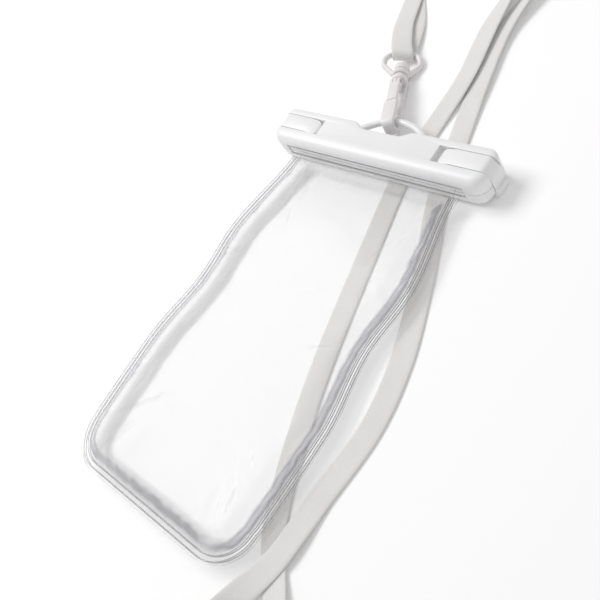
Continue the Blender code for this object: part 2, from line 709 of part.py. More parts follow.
def front_height(x, y, width):
    weld = WELD_HEIGHT + GAP
    panel = FILM_FLOOR + FILM + PHONE_ROOM
    loose = weld + (panel - weld) * film_rise(x, y, width)
    return loose + (FRONT_FILM_IN_CLAMP - loose) * in_clamp(y)


def rear_height(x, y, width):
    foot = smoothstep((POUCH_BOTTOM + 42 * MM - y) / (16 * MM))
    foot *= smoothstep((30 * MM - abs(x)) / (10 * MM))
    weld = WELD_HEIGHT - FILM
    panel = FILM_FLOOR - (FILM_FLOOR - FOOT_FLOOR) * foot
    loose = weld + (panel - weld) * film_rise(x, y, width)
    return loose + (REAR_FILM_IN_CLAMP - loose) * in_clamp(y)


def build_film(name, height, material):
    item = make_object(name, film_solid(height, film_rows()), material)
    drill_rivets(item, CLAMP_BACK, CLAMP_FRONT)
    return finish(item, 60)


def build_front_film(material):
    return build_film("front_film", front_height, material)


def build_rear_film(material):
    return build_film("rear_film", rear_height, material)


# Snap hook and swivel ring
def hook_place():
    """The hook's frame: origin on the eyelet's wire, Y towards the ring."""
    rise = math.sqrt(EYELET_RADIUS ** 2 - HOOK_X ** 2)
    origin = Vector((HOOK_X, EYELET_CENTRE + rise, EYELET_HEIGHT))
    return (Matrix.Translation(origin) @ Matrix.Rotation(HOOK_LEAN, 4, "Z")
            @ Matrix.Rotation(-HOOK_TILT, 4, "X"))


def hook_side_view():
    """The hook from the side: the long leg, the bend round the eyelet and the nose."""
    bend = -(BEND_INSIDE + BEND_THICKNESS)
    return rounded([
        (COLLAR_START + MM, -LEG_OUTSIDE, 0), (bend, -LEG_OUTSIDE, 3.0 * MM),
        (bend, LEG_OUTSIDE, 3.0 * MM), (NOSE_TIP, LEG_OUTSIDE, 0.4 * MM),
        (NOSE_TIP, LEG_INSIDE, 0.3 * MM), (-BEND_INSIDE, LEG_INSIDE, 2.0 * MM),
        (-BEND_INSIDE, -LEG_INSIDE, 2.0 * MM), (COLLAR_START + MM, -LEG_INSIDE, 0)], steps=5)


def hook_widths():
    """The hook from the front: a wide nose and bend, and a narrower leg."""
    bend = -(BEND_INSIDE + BEND_THICKNESS)
    foot = NOSE_HALF_WIDTH - 0.4 * MM
    half = [
        (foot, bend, 1.4 * MM), (NOSE_HALF_WIDTH, -BEND_INSIDE + 2 * MM, 0.8 * MM),
        (NOSE_HALF_WIDTH, NOSE_TIP - 2 * MM, 2.0 * MM), (GATE_HALF_WIDTH, NOSE_TIP + MM, 2.0 * MM),
        (GATE_HALF_WIDTH, COLLAR_START + 2 * MM, 0)]
    return rounded(half + [(-x, y, radius) for x, y, radius in reversed(half)])


def hook_lug():
    """The plate between the two legs that the gate turns on, seen from the side."""
    lug = []
    for step in range(13):
        angle = math.radians(-30 + 240 * step / 12)
        lug.append(Vector((GATE_PIVOT + LUG_RADIUS * math.cos(angle),
                           LEG_INSIDE + LUG_RADIUS * math.sin(angle))))
    return lug + [
        Vector((GATE_PIVOT - LUG_RADIUS * 0.7, -LEG_INSIDE - MM)),
        Vector((COLLAR_START + MM, -LEG_INSIDE - MM)),
        Vector((COLLAR_START + MM, LEG_INSIDE - LUG_RADIUS * 0.5))]


def hook_collar():
    """The collar, the stem that the ring turns on and the knob that keeps it there."""
    step = COLLAR_RADIUS - 0.9 * MM
    end = KNOB_START + KNOB_LENGTH
    return turned([
        (COLLAR_RADIUS - 0.4 * MM, COLLAR_START), (COLLAR_RADIUS, COLLAR_START + 0.4 * MM),
        (COLLAR_RADIUS, COLLAR_START + COLLAR_LENGTH * 0.55),
        (step, COLLAR_START + COLLAR_LENGTH * 0.62), (step, COLLAR_START + COLLAR_LENGTH),
        (STEM_RADIUS, COLLAR_START + COLLAR_LENGTH), (STEM_RADIUS, KNOB_START),
        (KNOB_RADIUS, KNOB_START), (KNOB_RADIUS, KNOB_START + KNOB_LENGTH * 0.45),
        (KNOB_RADIUS * 0.85, KNOB_START + KNOB_LENGTH * 0.72),
        (KNOB_RADIUS * 0.5, end - 0.3 * MM), (KNOB_RADIUS * 0.35, end)])


def gate_pin_solid(reach, radius, sides):
    """A cylinder across the hook on the gate's axis."""
    return cylinder((-reach, GATE_PIVOT, LEG_INSIDE), (reach, GATE_PIVOT, LEG_INSIDE), radius, sides=sides)


def build_hook_body(material):
    place = hook_place()
    solid = prism(hook_side_view(), "X", -NOSE_HALF_WIDTH, NOSE_HALF_WIDTH)
    item = make_object("hook_body", solid, material)
    combine(item, prism(hook_widths(), "Z", -3 * LEG_OUTSIDE, 3 * LEG_OUTSIDE), "INTERSECT")
    combine(item, prism(hook_lug(), "X", -LUG_HALF_WIDTH, LUG_HALF_WIDTH), "UNION")
    combine(item, hook_collar(), "UNION")
    combine(item, gate_pin_solid(NOSE_HALF_WIDTH, GATE_PIN_RADIUS + GAP, 12), "DIFFERENCE")
    item.data.transform(place)
    set_origin(item, place.translation)
    return finish(item)


def gate_side_view():
    """The gate from the side: its lip stops inside the nose."""
    outer = LEG_OUTSIDE - 0.1 * MM
    lip_high = LEG_INSIDE - GAP
    lip_low = lip_high - MM
    slack = NOSE_TIP + GAP
    root = GATE_PIVOT + 1.4 * MM
    heel = LEG_INSIDE - 1.5 * MM
    return rounded([
        (root, outer, 1.3 * MM), (slack, outer, 0.3 * MM), (slack, lip_high, 0),
        (NOSE_TIP - 1.3 * MM, lip_high, 0.2 * MM), (NOSE_TIP - 1.3 * MM, lip_low, 0.3 * MM),
        (NOSE_TIP + 1.8 * MM, lip_low, 0.6 * MM), (NOSE_TIP + 3.5 * MM, LEG_INSIDE, 0.6 * MM),
        (GATE_PIVOT - 3.0 * MM, LEG_INSIDE, 0.6 * MM), (GATE_PIVOT - 1.5 * MM, heel, 0.8 * MM),
        (root, heel, 1.3 * MM)])


def build_gate(material):
    """The gate, with a fork that straddles the hook's lug."""
    place = hook_place()
    fork = LUG_HALF_WIDTH + GAP
    solid = prism(gate_side_view(), "X", -GATE_HALF_WIDTH, GATE_HALF_WIDTH)
    item = make_object("hook_gate", solid, material)
    combine(item, gate_pin_solid(fork, LUG_RADIUS + GAP, 20), "DIFFERENCE")
    behind = box((-fork, GATE_PIVOT, LEG_INSIDE - 3 * MM), (fork, GATE_PIVOT + 4 * MM, LEG_INSIDE + 4 * MM))
    combine(item, behind, "DIFFERENCE")
    under = box((-fork, GATE_PIVOT - LUG_RADIUS - GAP, LEG_INSIDE - 3 * MM),
                (fork, GATE_PIVOT + MM, LEG_INSIDE))
    combine(item, under, "DIFFERENCE")
    combine(item, gate_pin_solid(4 * MM, GATE_PIN_RADIUS + GAP, 12), "DIFFERENCE")
    item.data.transform(place)
    set_origin(item, place @ Vector((0, GATE_PIVOT, LEG_INSIDE)))
    return finish(item)


def build_gate_pin(material):
    solid = gate_pin_solid(GATE_HALF_WIDTH - 0.2 * MM, GATE_PIN_RADIUS, 10)
    return finish(make_object("hook_gate_pin", solid, material, hook_place()))


def build_ring(material):
    """The swivel ring: a D of round wire with a boss, which turns on the hook's stem."""
    place = hook_place()
    corners = rounded([
        (-3.0 * MM, BOSS_MIDDLE, 3.0 * MM), (-RING_HALF_WIDTH, BOSS_MIDDLE + 5.0 * MM, 5.0 * MM),
        (-RING_HALF_WIDTH, RING_BAR, 5.0 * MM), (RING_HALF_WIDTH, RING_BAR, 5.0 * MM),
        (RING_HALF_WIDTH, BOSS_MIDDLE + 5.0 * MM, 5.0 * MM), (3.0 * MM, BOSS_MIDDLE, 3.0 * MM)], steps=5)
    line = [Vector((point.x, point.y, 0)) for point in corners]
    item = make_object("swivel_ring", sweep_tube(line, RING_WIRE, sides=10, closed=True), material)
    low = BOSS_MIDDLE - BOSS_LENGTH / 2
    high = BOSS_MIDDLE + BOSS_LENGTH / 2
    boss = turned([
        (BOSS_RADIUS - 0.4 * MM, low), (BOSS_RADIUS, low + 0.4 * MM),
        (BOSS_RADIUS, high - 0.6 * MM), (BOSS_RADIUS - 0.6 * MM, high)])
    combine(item, boss, "UNION")
    reach = STEM_RADIUS + GAP
    combine(item, cylinder((0, low - 2 * MM, 0), (0, high + 0.2 * MM, 0), reach), "DIFFERENCE")
    combine(item, cylinder((0, low - 2 * MM, 0), (0, low, 0), BOSS_RADIUS + MM), "DIFFERENCE")
    combine(item, cylinder((0, high, 0), (0, high + KNOB_LENGTH, 0), KNOB_RADIUS + GAP), "DIFFERENCE")
    item.data.transform(place)
    set_origin(item, place @ Vector((0, BOSS_MIDDLE, 0)))
    return finish(item)


# Strap
def floor_place(along):
    """A point on the floor under the hook's axis, at a distance from the eyelet's wire."""
    point = hook_place() @ Vector((0, along, 0))
    return Vector((point.x, point.y, 0))


def smooth_curve(points, step):
    """Samples a curve that passes smoothly through the points."""
    samples = []
    last = len(points) - 1
    for index in range(last):
        before = points[max(index - 1, 0)]
        start = points[index]
        end = points[index + 1]
        after = points[min(index + 2, last)]
        pieces = max(1, round((end.xyz - start.xyz).length / step))
        for piece in range(pieces):
            t = piece / pieces
            samples.append(0.5 * (
                2 * start + (end - before) * t + (2 * before - 5 * start + 4 * end - after) * t ** 2
                + (3 * start - 3 * end + after - before) * t ** 3))
    samples.append(points[-1])
    return samples


def build_end_loop(material):
    """The short loop of strap round the ring's bar, as far as the crimp."""
    place = hook_place()
    radius = RING_WIRE + GAP + STRAP_THICKNESS / 2
    stop = CRIMP_START - 2 * GAP
    square = 3 * MM
    floor = STRAP_FLOOR + STRAP_THICKNESS / 2

    def from_floor(along, side, height):
        point = floor_place(along)
        level = place.inverted() @ Vector((point.x, point.y, height))
        return Vector((side, along, level.z))

    run = stop - RING_BAR
    upper = [
        from_floor(stop, 0, floor + LAYER_LIFT), from_floor(stop - square, 0, floor + LAYER_LIFT),
        from_floor(stop - run * 0.3, -2.0 * MM, floor + LAYER_LIFT),
        from_floor(stop - run * 0.55, -3.2 * MM, floor + 1.6 * LAYER_LIFT),
        from_floor(stop - run * 0.85, -1.6 * MM, floor + 3.3 * LAYER_LIFT)]
    wrap = []
    for step in range(9):
        angle = math.radians(90 - 180 * step / 8)
        aside = (step - 4) / 4 * 0.7 * MM
        wrap.append(Vector((aside, RING_BAR - radius * math.cos(angle), radius * math.sin(angle))))
    lower = [
        from_floor(stop - run * 0.85, 1.6 * MM, floor + GAP / 2),
        from_floor(stop - run * 0.55, 3.2 * MM, floor), from_floor(stop - run * 0.3, 2.0 * MM, floor),
        from_floor(stop - square, 0, floor), from_floor(stop, 0, floor)]
    line = smooth_curve([point.to_4d() for point in upper + wrap + lower], 3.0 * MM)
    centres = [point.to_3d() for point in line]
    sides = [Vector((1, 0, 0))] * len(centres)
    item = make_object("strap_end_loop", sweep_ribbon(centres, sides, STRAP_WIDTH, STRAP_THICKNESS),
                       material, place)
    return finish(item)


def build_crimp(material):
    """The flat clip that joins the end loop to both ends of the neck strap."""
    outline = rounded([
        (-CRIMP_HALF_WIDTH, STRAP_FLOOR, 1.2 * MM), (CRIMP_HALF_WIDTH, STRAP_FLOOR, 1.2 * MM),
        (CRIMP_HALF_WIDTH, STRAP_FLOOR + CRIMP_HEIGHT, 1.2 * MM),
        (-CRIMP_HALF_WIDTH, STRAP_FLOOR + CRIMP_HEIGHT, 1.2 * MM)], steps=3)
    start = floor_place(CRIMP_START)
    place = Matrix.Translation(start) @ Matrix.Rotation(HOOK_LEAN, 4, "Z")
    item = make_object("strap_crimp", prism(outline, "Y", 0, CRIMP_LENGTH), material, place)
    return finish(item)


def build_neck_strap(material):
    """One ribbon from the crimp round the neck loop, under the case and back to the crimp."""
    ahead = Matrix.Rotation(HOOK_LEAN, 3, "Z") @ Vector((0, 1, 0))
    start = (floor_place(CRIMP_START) + ahead * (CRIMP_LENGTH + 2 * GAP)) / MM
    near = start + ahead * 7
    route = [(start.x, start.y, 0, 1), (near.x, near.y, -12, 1), *STRAP_ROUTE,
             (near.x, near.y, 12, 0), (start.x, start.y, 0, 0)]
    knots = [Vector((x * MM, y * MM, roll * MM, lift * MM)) for x, y, roll, lift in route]
    line = smooth_curve(knots, STRAP_STEP)
    centres = []
    sides = []
    last = len(line) - 1
    for index, knot in enumerate(line):
        heading = line[min(index + 1, last)].xy - line[max(index - 1, 0)].xy
        heading = Vector((heading.x, heading.y, 0)).normalized()
        across = heading.cross(Vector((0, 0, 1)))
        roll = math.radians(max(-90.0, min(90.0, knot.z / MM)))
        side = across * math.cos(roll) + Vector((0, 0, 1)) * math.sin(roll)
        height = STRAP_FLOOR + STRAP_THICKNESS / 2 * math.cos(roll) + STRAP_WIDTH / 2 * abs(math.sin(roll))
        lift = max(0.0, knot.w / MM) * LAYER_LIFT
        centres.append(Vector((knot.x, knot.y, height + lift)))
        sides.append(side)
    item = make_object("neck_strap", sweep_ribbon(centres, sides, STRAP_WIDTH, STRAP_THICKNESS), material)
    return finish(item, 60)


# Materials
def white_abs():
    return make_material("white moulded ABS", (0.86, 0.86, 0.86), 0.38)


def strip_abs():
    return make_material("white strip ABS", (0.82, 0.82, 0.82), 0.45)


def silicone():
    return make_material("silicone seal", (0.78, 0.79, 0.8), 0.6)


def steel():
    return make_material("steel pin", (0.6, 0.6, 0.6), 0.3, metallic=1.0)


def clear_tpu():
    return make_material("clear TPU film", (0.93, 0.93, 0.92), 0.08, alpha=0.3)


def acetal():
    return make_material("off-white acetal", (0.78, 0.76, 0.76), 0.35)


def webbing():
    return make_material("pale grey webbing", (0.68, 0.67, 0.64), 0.85)


def build_case():
    clear_scene()
    shell, inner, metal = white_abs(), strip_abs(), steel()
    film, plastic, strap = clear_tpu(), acetal(), webbing()
    build_rear_bar(shell)
    build_front_bar(shell)
    build_front_strip(inner)
    build_rear_strip(inner)
    build_gasket(silicone())
    for number in range(1, len(RIVET_PLACES) + 1):
        build_front_rivet(number, inner)
        build_rear_rivet(number, inner)
    for name, side in (("left_latch", -1), ("right_latch", 1)):
        build_latch(name, side, shell)
        build_latch_pin(name + "_pin", side, metal)
    build_front_film(film)
    build_rear_film(film)
    build_hook_body(plastic)
    build_gate(plastic)
    build_gate_pin(metal)
    build_ring(plastic)
    build_end_loop(strap)
    build_crimp(plastic)
    build_neck_strap(strap)


build_case()
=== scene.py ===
import math

import bmesh
import bpy
from mathutils import Matrix, Vector, noise


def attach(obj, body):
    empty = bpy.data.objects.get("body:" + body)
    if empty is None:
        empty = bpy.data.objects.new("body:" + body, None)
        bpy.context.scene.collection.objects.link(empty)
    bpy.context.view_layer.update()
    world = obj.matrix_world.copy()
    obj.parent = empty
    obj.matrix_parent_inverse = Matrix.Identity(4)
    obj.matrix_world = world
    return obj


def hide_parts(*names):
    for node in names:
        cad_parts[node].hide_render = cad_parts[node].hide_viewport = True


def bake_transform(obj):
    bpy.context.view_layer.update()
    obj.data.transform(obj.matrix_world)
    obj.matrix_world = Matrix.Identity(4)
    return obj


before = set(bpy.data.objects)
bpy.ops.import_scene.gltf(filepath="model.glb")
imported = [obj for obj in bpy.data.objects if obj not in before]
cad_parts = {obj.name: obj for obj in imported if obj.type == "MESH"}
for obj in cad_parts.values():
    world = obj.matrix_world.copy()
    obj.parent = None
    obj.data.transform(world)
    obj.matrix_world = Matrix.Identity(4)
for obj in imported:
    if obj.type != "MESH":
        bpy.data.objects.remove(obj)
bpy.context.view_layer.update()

MM = 0.001


# Rear bar of the clamp, with the eyelet that the hook hangs on.
# One piece of white ABS from a polished mould: satin to glossy, with every cut edge slightly rounded.
# The front bar, latches, hook and ring are moulded too, so their shared finish is made here.
REAR_BAR_EDGE = 0.35 * MM
CLAMP_TOP = 63.53 * MM
EYELET_RADIUS = 23.8 * MM         # centre line of the eyelet's round wire
EYELET_CENTRE = 47.83 * MM
EYELET_HEIGHT = 6.8 * MM
EYELET_THINNING = 0.78            # the wire narrows beyond its feet
EYELET_FADE = 2.0 * MM            # over this distance
EYELET_REACH = 3.0 * MM           # its points lie nearer than this to its centre line
ABS_WHITE = "#F1F1F1"
ABS_SHADE = "#E9E9EB"
ABS_MOTTLE = 14 * MM              # width of the faint flow marks in the moulding
ABS_SKIN = 0.7 * MM               # grain of the mould's polish
SHARP_FROM = math.radians(38)     # edges sharper than this stay crisp


def linear(colour):
    """An sRGB hex colour as linear red, green, blue and alpha."""
    parts = [int(colour[place:place + 2], 16) / 255 for place in (1, 3, 5)]
    return [part / 12.92 if part <= 0.04045 else ((part + 0.055) / 1.055) ** 2.4 for part in parts] + [1.0]


def add(tree, kind, settings=None, inputs=None):
    """Adds one node; inputs holds values, or sockets to link from."""
    node = tree.nodes.new(kind)
    for name, value in (settings or {}).items():
        setattr(node, name, value)
    for name, value in (inputs or {}).items():
        if isinstance(value, bpy.types.NodeSocket):
            tree.links.new(value, node.inputs[name])
        else:
            node.inputs[name].default_value = value
    return node


def new_material(name, **constants):
    """A Principled material with its constant sockets set; returns it, its nodes and its shader."""
    material = bpy.data.materials.new(name)
    material.use_nodes = True
    tree = material.node_tree
    shader = tree.nodes["Principled BSDF"]
    for socket, value in constants.items():
        shader.inputs[socket.replace("_", " ")].default_value = value
    return material, tree, shader


def moulded_plastic(name, colour, shade, mottle, skin, roughness, bump):
    """Moulded plastic: faint flow marks in the colour, and a fine skin that softens the highlights."""
    material, tree, shader = new_material(name, IOR=1.5)
    place = add(tree, "ShaderNodeTexCoord").outputs["Object"]
    flow = add(tree, "ShaderNodeTexNoise", None, {"Vector": place, "Scale": 1 / mottle, "Detail": 2.0})
    tint = add(tree, "ShaderNodeMix", {"data_type": "RGBA"}, {"Factor": flow.outputs["Fac"]})
    tint.inputs[6].default_value = linear(colour)
    tint.inputs[7].default_value = linear(shade)
    tree.links.new(tint.outputs[2], shader.inputs["Base Color"])
    grain = add(tree, "ShaderNodeTexNoise", None, {"Vector": place, "Scale": 1 / skin, "Detail": 3.0})
    rough = add(tree, "ShaderNodeMapRange", None, {
        "Value": flow.outputs["Fac"], "To Min": roughness * 0.85, "To Max": roughness * 1.2})
    tree.links.new(rough.outputs["Result"], shader.inputs["Roughness"])
    relief = add(tree, "ShaderNodeBump", None, {
        "Height": grain.outputs["Fac"], "Strength": bump, "Distance": 0.05 * MM})
    tree.links.new(relief.outputs["Normal"], shader.inputs["Normal"])
    return material


def moulding(node, body, material, edge, corners=40, refine=None, cuts=(), outline=None):
    """A CAD piece's own form, refined and cut where asked, with the edges that a mould rounds."""
    solid = bmesh.new()
    solid.from_mesh(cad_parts[node].data)
    bmesh.ops.remove_doubles(solid, verts=solid.verts, dist=0.01 * MM)
    bmesh.ops.dissolve_limit(
        solid, angle_limit=math.radians(0.7), verts=solid.verts, edges=solid.edges)
    if refine:
        refine(solid)
    rough = bpy.data.objects.new(node + "_rough", bpy.data.meshes.new(node + "_rough"))
    solid.to_mesh(rough.data)
    solid.free()
    bpy.context.scene.collection.objects.link(rough)
    tools = [(cut, "DIFFERENCE") for cut in cuts] + ([(outline, "INTERSECT")] if outline else [])
    for tool, operation in tools:
        trim = rough.modifiers.new("trim", "BOOLEAN")
        trim.operation = operation
        trim.solver = "EXACT"
        trim.object = tool
    rounding = rough.modifiers.new("rounding", "BEVEL")
    rounding.width = edge
    rounding.segments = 3
    rounding.limit_method = "ANGLE"
    rounding.angle_limit = math.radians(corners)
    rounding.miter_outer = "MITER_ARC"
    bpy.context.view_layer.update()
    graph = bpy.context.evaluated_depsgraph_get()
    mesh = bpy.data.meshes.new_from_object(rough.evaluated_get(graph))
    for item in [rough] + [tool for tool, operation in tools]:
        bpy.data.objects.remove(item, do_unlink=True)
    mesh.name = node + "_moulding"
    mesh.materials.clear()
    mesh.materials.append(material)
    mesh.shade_smooth()
    mesh.set_sharp_from_angle(angle=SHARP_FROM)
    piece = bpy.data.objects.new(node + "_moulding", mesh)
    bpy.context.scene.collection.objects.link(piece)
    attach(piece, body)
    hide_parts(node)
    return piece


def ease(value):
    """A smooth step from 0 to 1."""
    value = max(0.0, min(1.0, value))
    return value * value * (3 - 2 * value)


def slim_eyelet(solid):
    """Narrows the eyelet's wire beyond the feet that join it to the bar."""
    for vert in solid.verts:
        x, y, z = vert.co
        share = 1 - (1 - EYELET_THINNING) * ease((y - CLAMP_TOP) / EYELET_FADE)
        reach = math.hypot(x, y - EYELET_CENTRE)
        if y > CLAMP_TOP + 0.01 * MM and abs(reach - EYELET_RADIUS) < EYELET_REACH:
            factor = (EYELET_RADIUS + (reach - EYELET_RADIUS) * share) / reach
            vert.co = (x * factor, EYELET_CENTRE + (y - EYELET_CENTRE) * factor,
                       EYELET_HEIGHT + (z - EYELET_HEIGHT) * share)


def finish_node(node, material):
    """A CAD piece whose shape is right takes its finish."""
    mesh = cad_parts[node].data
    mesh.materials.clear()
    mesh.materials.append(material)
    mesh.shade_smooth()
    mesh.set_sharp_from_angle(angle=SHARP_FROM)


# Acrylonitrile butadiene styrene from a polished mould: opaque, satin to glossy.
white_abs = moulded_plastic(
    "white moulded ABS", ABS_WHITE, ABS_SHADE, ABS_MOTTLE, ABS_SKIN, roughness=0.34, bump=0.08)
moulding("rear_bar", "case", white_abs, REAR_BAR_EDGE, refine=slim_eyelet)


# Inner strips, which grip the two films, and the silicone cord that seals one against the other.
# The strips are plain ABS, seen only with the clamp open; the seal is soft, matt, translucent silicone.
# Four pegs a side go through strip and film into each bar.
STRIP_WHITE = "#E6E6E7"
SEAL_GREY = "#DADCDD"
SEAL_LIGHT = "#E4E6E6"

# The same plastic from a mould that was left unpolished.
strip_abs = moulded_plastic(
    "strip ABS", STRIP_WHITE, ABS_SHADE, ABS_MOTTLE, ABS_SKIN, roughness=0.45, bump=0.1)
for node in ("front_inner_strip", "rear_inner_strip"):
    finish_node(node, strip_abs)
for side in ("front", "rear"):
    for number in (1, 2, 3, 4):
        finish_node(f"{side}_rivet_{number}", strip_abs)

# Silicone rubber: soft, matt, and lit a little from inside.
silicone, silicone_tree, silicone_shader = new_material(
    "moulded silicone", Roughness=0.55, IOR=1.41, Subsurface_Weight=0.15)
silicone_place = add(silicone_tree, "ShaderNodeTexCoord").outputs["Object"]
silicone_cloud = add(silicone_tree, "ShaderNodeTexNoise", None, {
    "Vector": silicone_place, "Scale": 1 / (3 * MM), "Detail": 2.0})
silicone_tint = add(silicone_tree, "ShaderNodeMix", {"data_type": "RGBA"}, {
    "Factor": silicone_cloud.outputs["Fac"]})
silicone_tint.inputs[6].default_value = linear(SEAL_GREY)
silicone_tint.inputs[7].default_value = linear(SEAL_LIGHT)
silicone_tree.links.new(silicone_tint.outputs[2], silicone_shader.inputs["Base Color"])
finish_node("seal_gasket", silicone)


# Pouch: two sheets of clear soft TPU, about half a millimetre thick, welded along three sides.
# The sheets stand apart for the phone, slope down to the weld all round, and go up into the clamp.
# Rolling and packing leave soft creases that fan out from the corners and from the clamp.
POUCH_BOTTOM = -112.37 * MM
CLAMP_LOW = 46.43 * MM
FILM_TOP = 60.2 * MM
NECK = 44.0 * MM
SHOULDER = 50.5 * MM
WAIST = 48.5 * MM
HIP = 52.5 * MM
BOTTOM_HALF = HIP - 1.5 * MM       # half the width at the bottom weld
CORNER = 18.0 * MM
FILM = 0.45 * MM
WELD_WIDTH = 3.6 * MM
SIDE_RUN = 8.0 * MM
BOTTOM_RUN = 4.6 * MM
NECK_RUN = 7.0 * MM
WELD_FRONT = 5.5 * MM             # undersides of the front sheet
PANEL_FRONT = 9.6 * MM
HELD_FRONT = 9.4 * MM
WELD_REAR = 4.75 * MM             # and of the rear sheet
PANEL_REAR = 1.45 * MM
FOOT_REAR = 0.05 * MM
HELD_REAR = 4.55 * MM
EDGE_WAVE = 0.35 * MM             # how much the welded edge wanders
PANEL_SLACK = 0.45 * MM           # broad waves of the slack panel
PANEL_RIPPLE = 0.14 * MM          # and finer ones on them
WELD_PUCKER = 0.42 * MM           # puckers on the slope beside the weld
FOOT_LENGTH = 56 * MM             # the rear sheet sags to the floor this far up from the bottom
FOOT_FADE = 44 * MM
FOOT_HALF = 40 * MM               # and this far to each side
FOOT_SIDE_FADE = 34 * MM
REAR_CLEARANCE = 1.2 * MM         # above the floor beyond that foot
ROW_STEP = 1.1 * MM
MIDDLE_COLUMNS = 64


def pouch_half_width(y):
    """Half the pouch's width: neck, shoulder, waist and hips, then round bottom corners."""
    length = CLAMP_LOW - POUCH_BOTTOM
    stations = (
        (POUCH_BOTTOM, BOTTOM_HALF), (POUCH_BOTTOM + length * 0.36, HIP),
        (POUCH_BOTTOM + length * 0.57, WAIST), (POUCH_BOTTOM + length * 0.72, SHOULDER),
        (CLAMP_LOW, NECK), (FILM_TOP + MM, NECK))
    width = NECK
    for (low, narrow), (high, wide) in zip(stations, stations[1:]):
        if y <= high:
            width = narrow + (wide - narrow) * ease((y - low) / (high - low))
            break
    below = min(max(POUCH_BOTTOM + CORNER - y, 0.0), CORNER)
    return width + math.sqrt(CORNER ** 2 - below ** 2) - CORNER


def from_weld(x, y):
    """Distance inside the pouch's edge, measured square to it in the bottom corners too."""
    straight = BOTTOM_HALF - CORNER
    if y < POUCH_BOTTOM + CORNER and abs(x) > straight:
        return CORNER - math.hypot(abs(x) - straight, y - POUCH_BOTTOM - CORNER)
    return min(pouch_half_width(y) - abs(x), y - POUCH_BOTTOM)


def crease(x, y, start, end, width, height):
    """A soft ridge between two points in millimetres, fading towards its ends."""
    first = Vector(start) * MM
    run = Vector(end) * MM - first
    along = (Vector((x, y)) - first).dot(run) / run.length_squared
    if not -0.2 < along < 1.2:
        return 0.0
    bow = 1.3 * MM * math.sin(along * 4.0 + width * 9)
    aside = abs((Vector((x, y)) - first - run * along).length + bow) / (width * MM)
    fade = ease(1.2 - abs(along - 0.45) * 1.9)
    return height * MM * math.exp(-aside ** 1.3) * fade


# Each crease has a start, an end, a width and a height, in millimetres.
FRONT_CREASES = (
    ((-41, 43), (-22, 12), 1.3, 0.9), ((-33, 45), (-27, 20), 1.0, 0.6), ((-21, 46), (-19, 27), 0.9, 0.5),
    ((-6, 46), (-9, 33), 0.9, 0.35), ((42, 43), (25, 6), 1.4, 1.0), ((36, 45), (34, 12), 1.0, 0.7),
    ((27, 46), (29, 21), 0.9, 0.5), ((10, 46), (15, 28), 0.9, 0.4), ((46, 24), (33, 4), 1.2, 0.7),
    ((-46, 22), (-35, 6), 1.1, 0.6), ((-47, -97), (-19, -70), 1.4, 0.9), ((-37, -107), (-24, -82), 1.1, 0.6),
    ((-49, -82), (-36, -62), 1.0, 0.5), ((46, -97), (20, -72), 1.4, 0.9), ((35, -108), (27, -80), 1.1, 0.6),
    ((48, -80), (36, -58), 1.0, 0.5), ((-47, -26), (-22, -19), 1.4, 0.7), ((47, -22), (20, -31), 1.5, 0.8),
    ((-46, -14), (-27, 0), 1.1, 0.5), ((46, -8), (28, 3), 1.2, 0.55), ((47, -44), (34, -38), 1.1, 0.5),
    ((-14, -52), (16, -45), 2.0, 0.3), ((-30, -50), (-6, -66), 1.8, 0.3), ((6, -12), (30, -3), 1.9, 0.3))
REAR_CREASES = tuple(
    ((-start[0], start[1] + 4), (-end[0] + 2, end[1] + 5), width, height * 0.7)
    for start, end, width, height in FRONT_CREASES)


def sheet_height(x, y, weld, panel, held, creases, seed):
    """Height of the underside of a sheet: weld, slope, slack panel and the run into the clamp."""
    inside = from_weld(x, y)
    near_side = ease((abs(x) - (HIP - CORNER * 1.3)) / (CORNER * 0.7))
    low_down = ease((POUCH_BOTTOM + CORNER - y) / CORNER)
    run = SIDE_RUN + (BOTTOM_RUN - SIDE_RUN) * low_down * (1 - 0.55 * near_side)
    rise = ease((inside - WELD_WIDTH) / run)
    towards = 1 if panel > weld else -1
    slack = noise.noise(Vector((x / (26 * MM), y / (34 * MM), seed))) * PANEL_SLACK
    slack += noise.noise(Vector((x / (9 * MM), y / (12 * MM), seed + 7))) * PANEL_RIPPLE
    folds = sum(crease(x, y, *shape) for shape in creases)
    level = weld + (panel - weld) * rise
    level += (folds * 0.8 - abs(slack) * 0.45) * rise * -towards
    slope = 4 * rise * (1 - rise)
    pucker = noise.noise(Vector((x / (7 * MM), y / (5.5 * MM), seed + 3)))
    pucker += 0.6 * noise.noise(Vector((x / (3.6 * MM), y / (3 * MM), seed + 5)))
    level += pucker * WELD_PUCKER * slope
    into_clamp = ease((y - (CLAMP_LOW - NECK_RUN)) / (NECK_RUN - 0.3 * MM))
    return level + (held - level) * into_clamp


def front_height(x, y):
    """Height of the front sheet's underside."""
    return sheet_height(x, y, WELD_FRONT, PANEL_FRONT, HELD_FRONT, FRONT_CREASES, 3.0)


def rear_height(x, y):
    """Height of the rear sheet's underside, which rests on its foot near the bottom."""
    foot = ease((POUCH_BOTTOM + FOOT_LENGTH - y) / FOOT_FADE) * ease((FOOT_HALF - abs(x)) / FOOT_SIDE_FADE)
    panel = PANEL_REAR - (PANEL_REAR - FOOT_REAR) * foot
    level = sheet_height(x, y, WELD_REAR, panel, HELD_REAR, REAR_CREASES, 11.0)
    return max(level, REAR_CLEARANCE - (REAR_CLEARANCE - FOOT_REAR) * foot)


def sheet_rows():
    """Rows of the sheets' grid, closer together in the bottom corners."""
    rows = [POUCH_BOTTOM + CORNER * (1 - math.cos(math.radians(step * 90 / 18))) for step in range(19)]
    while rows[-1] + ROW_STEP < FILM_TOP:
        rows.append(rows[-1] + ROW_STEP)
    return rows + [FILM_TOP]


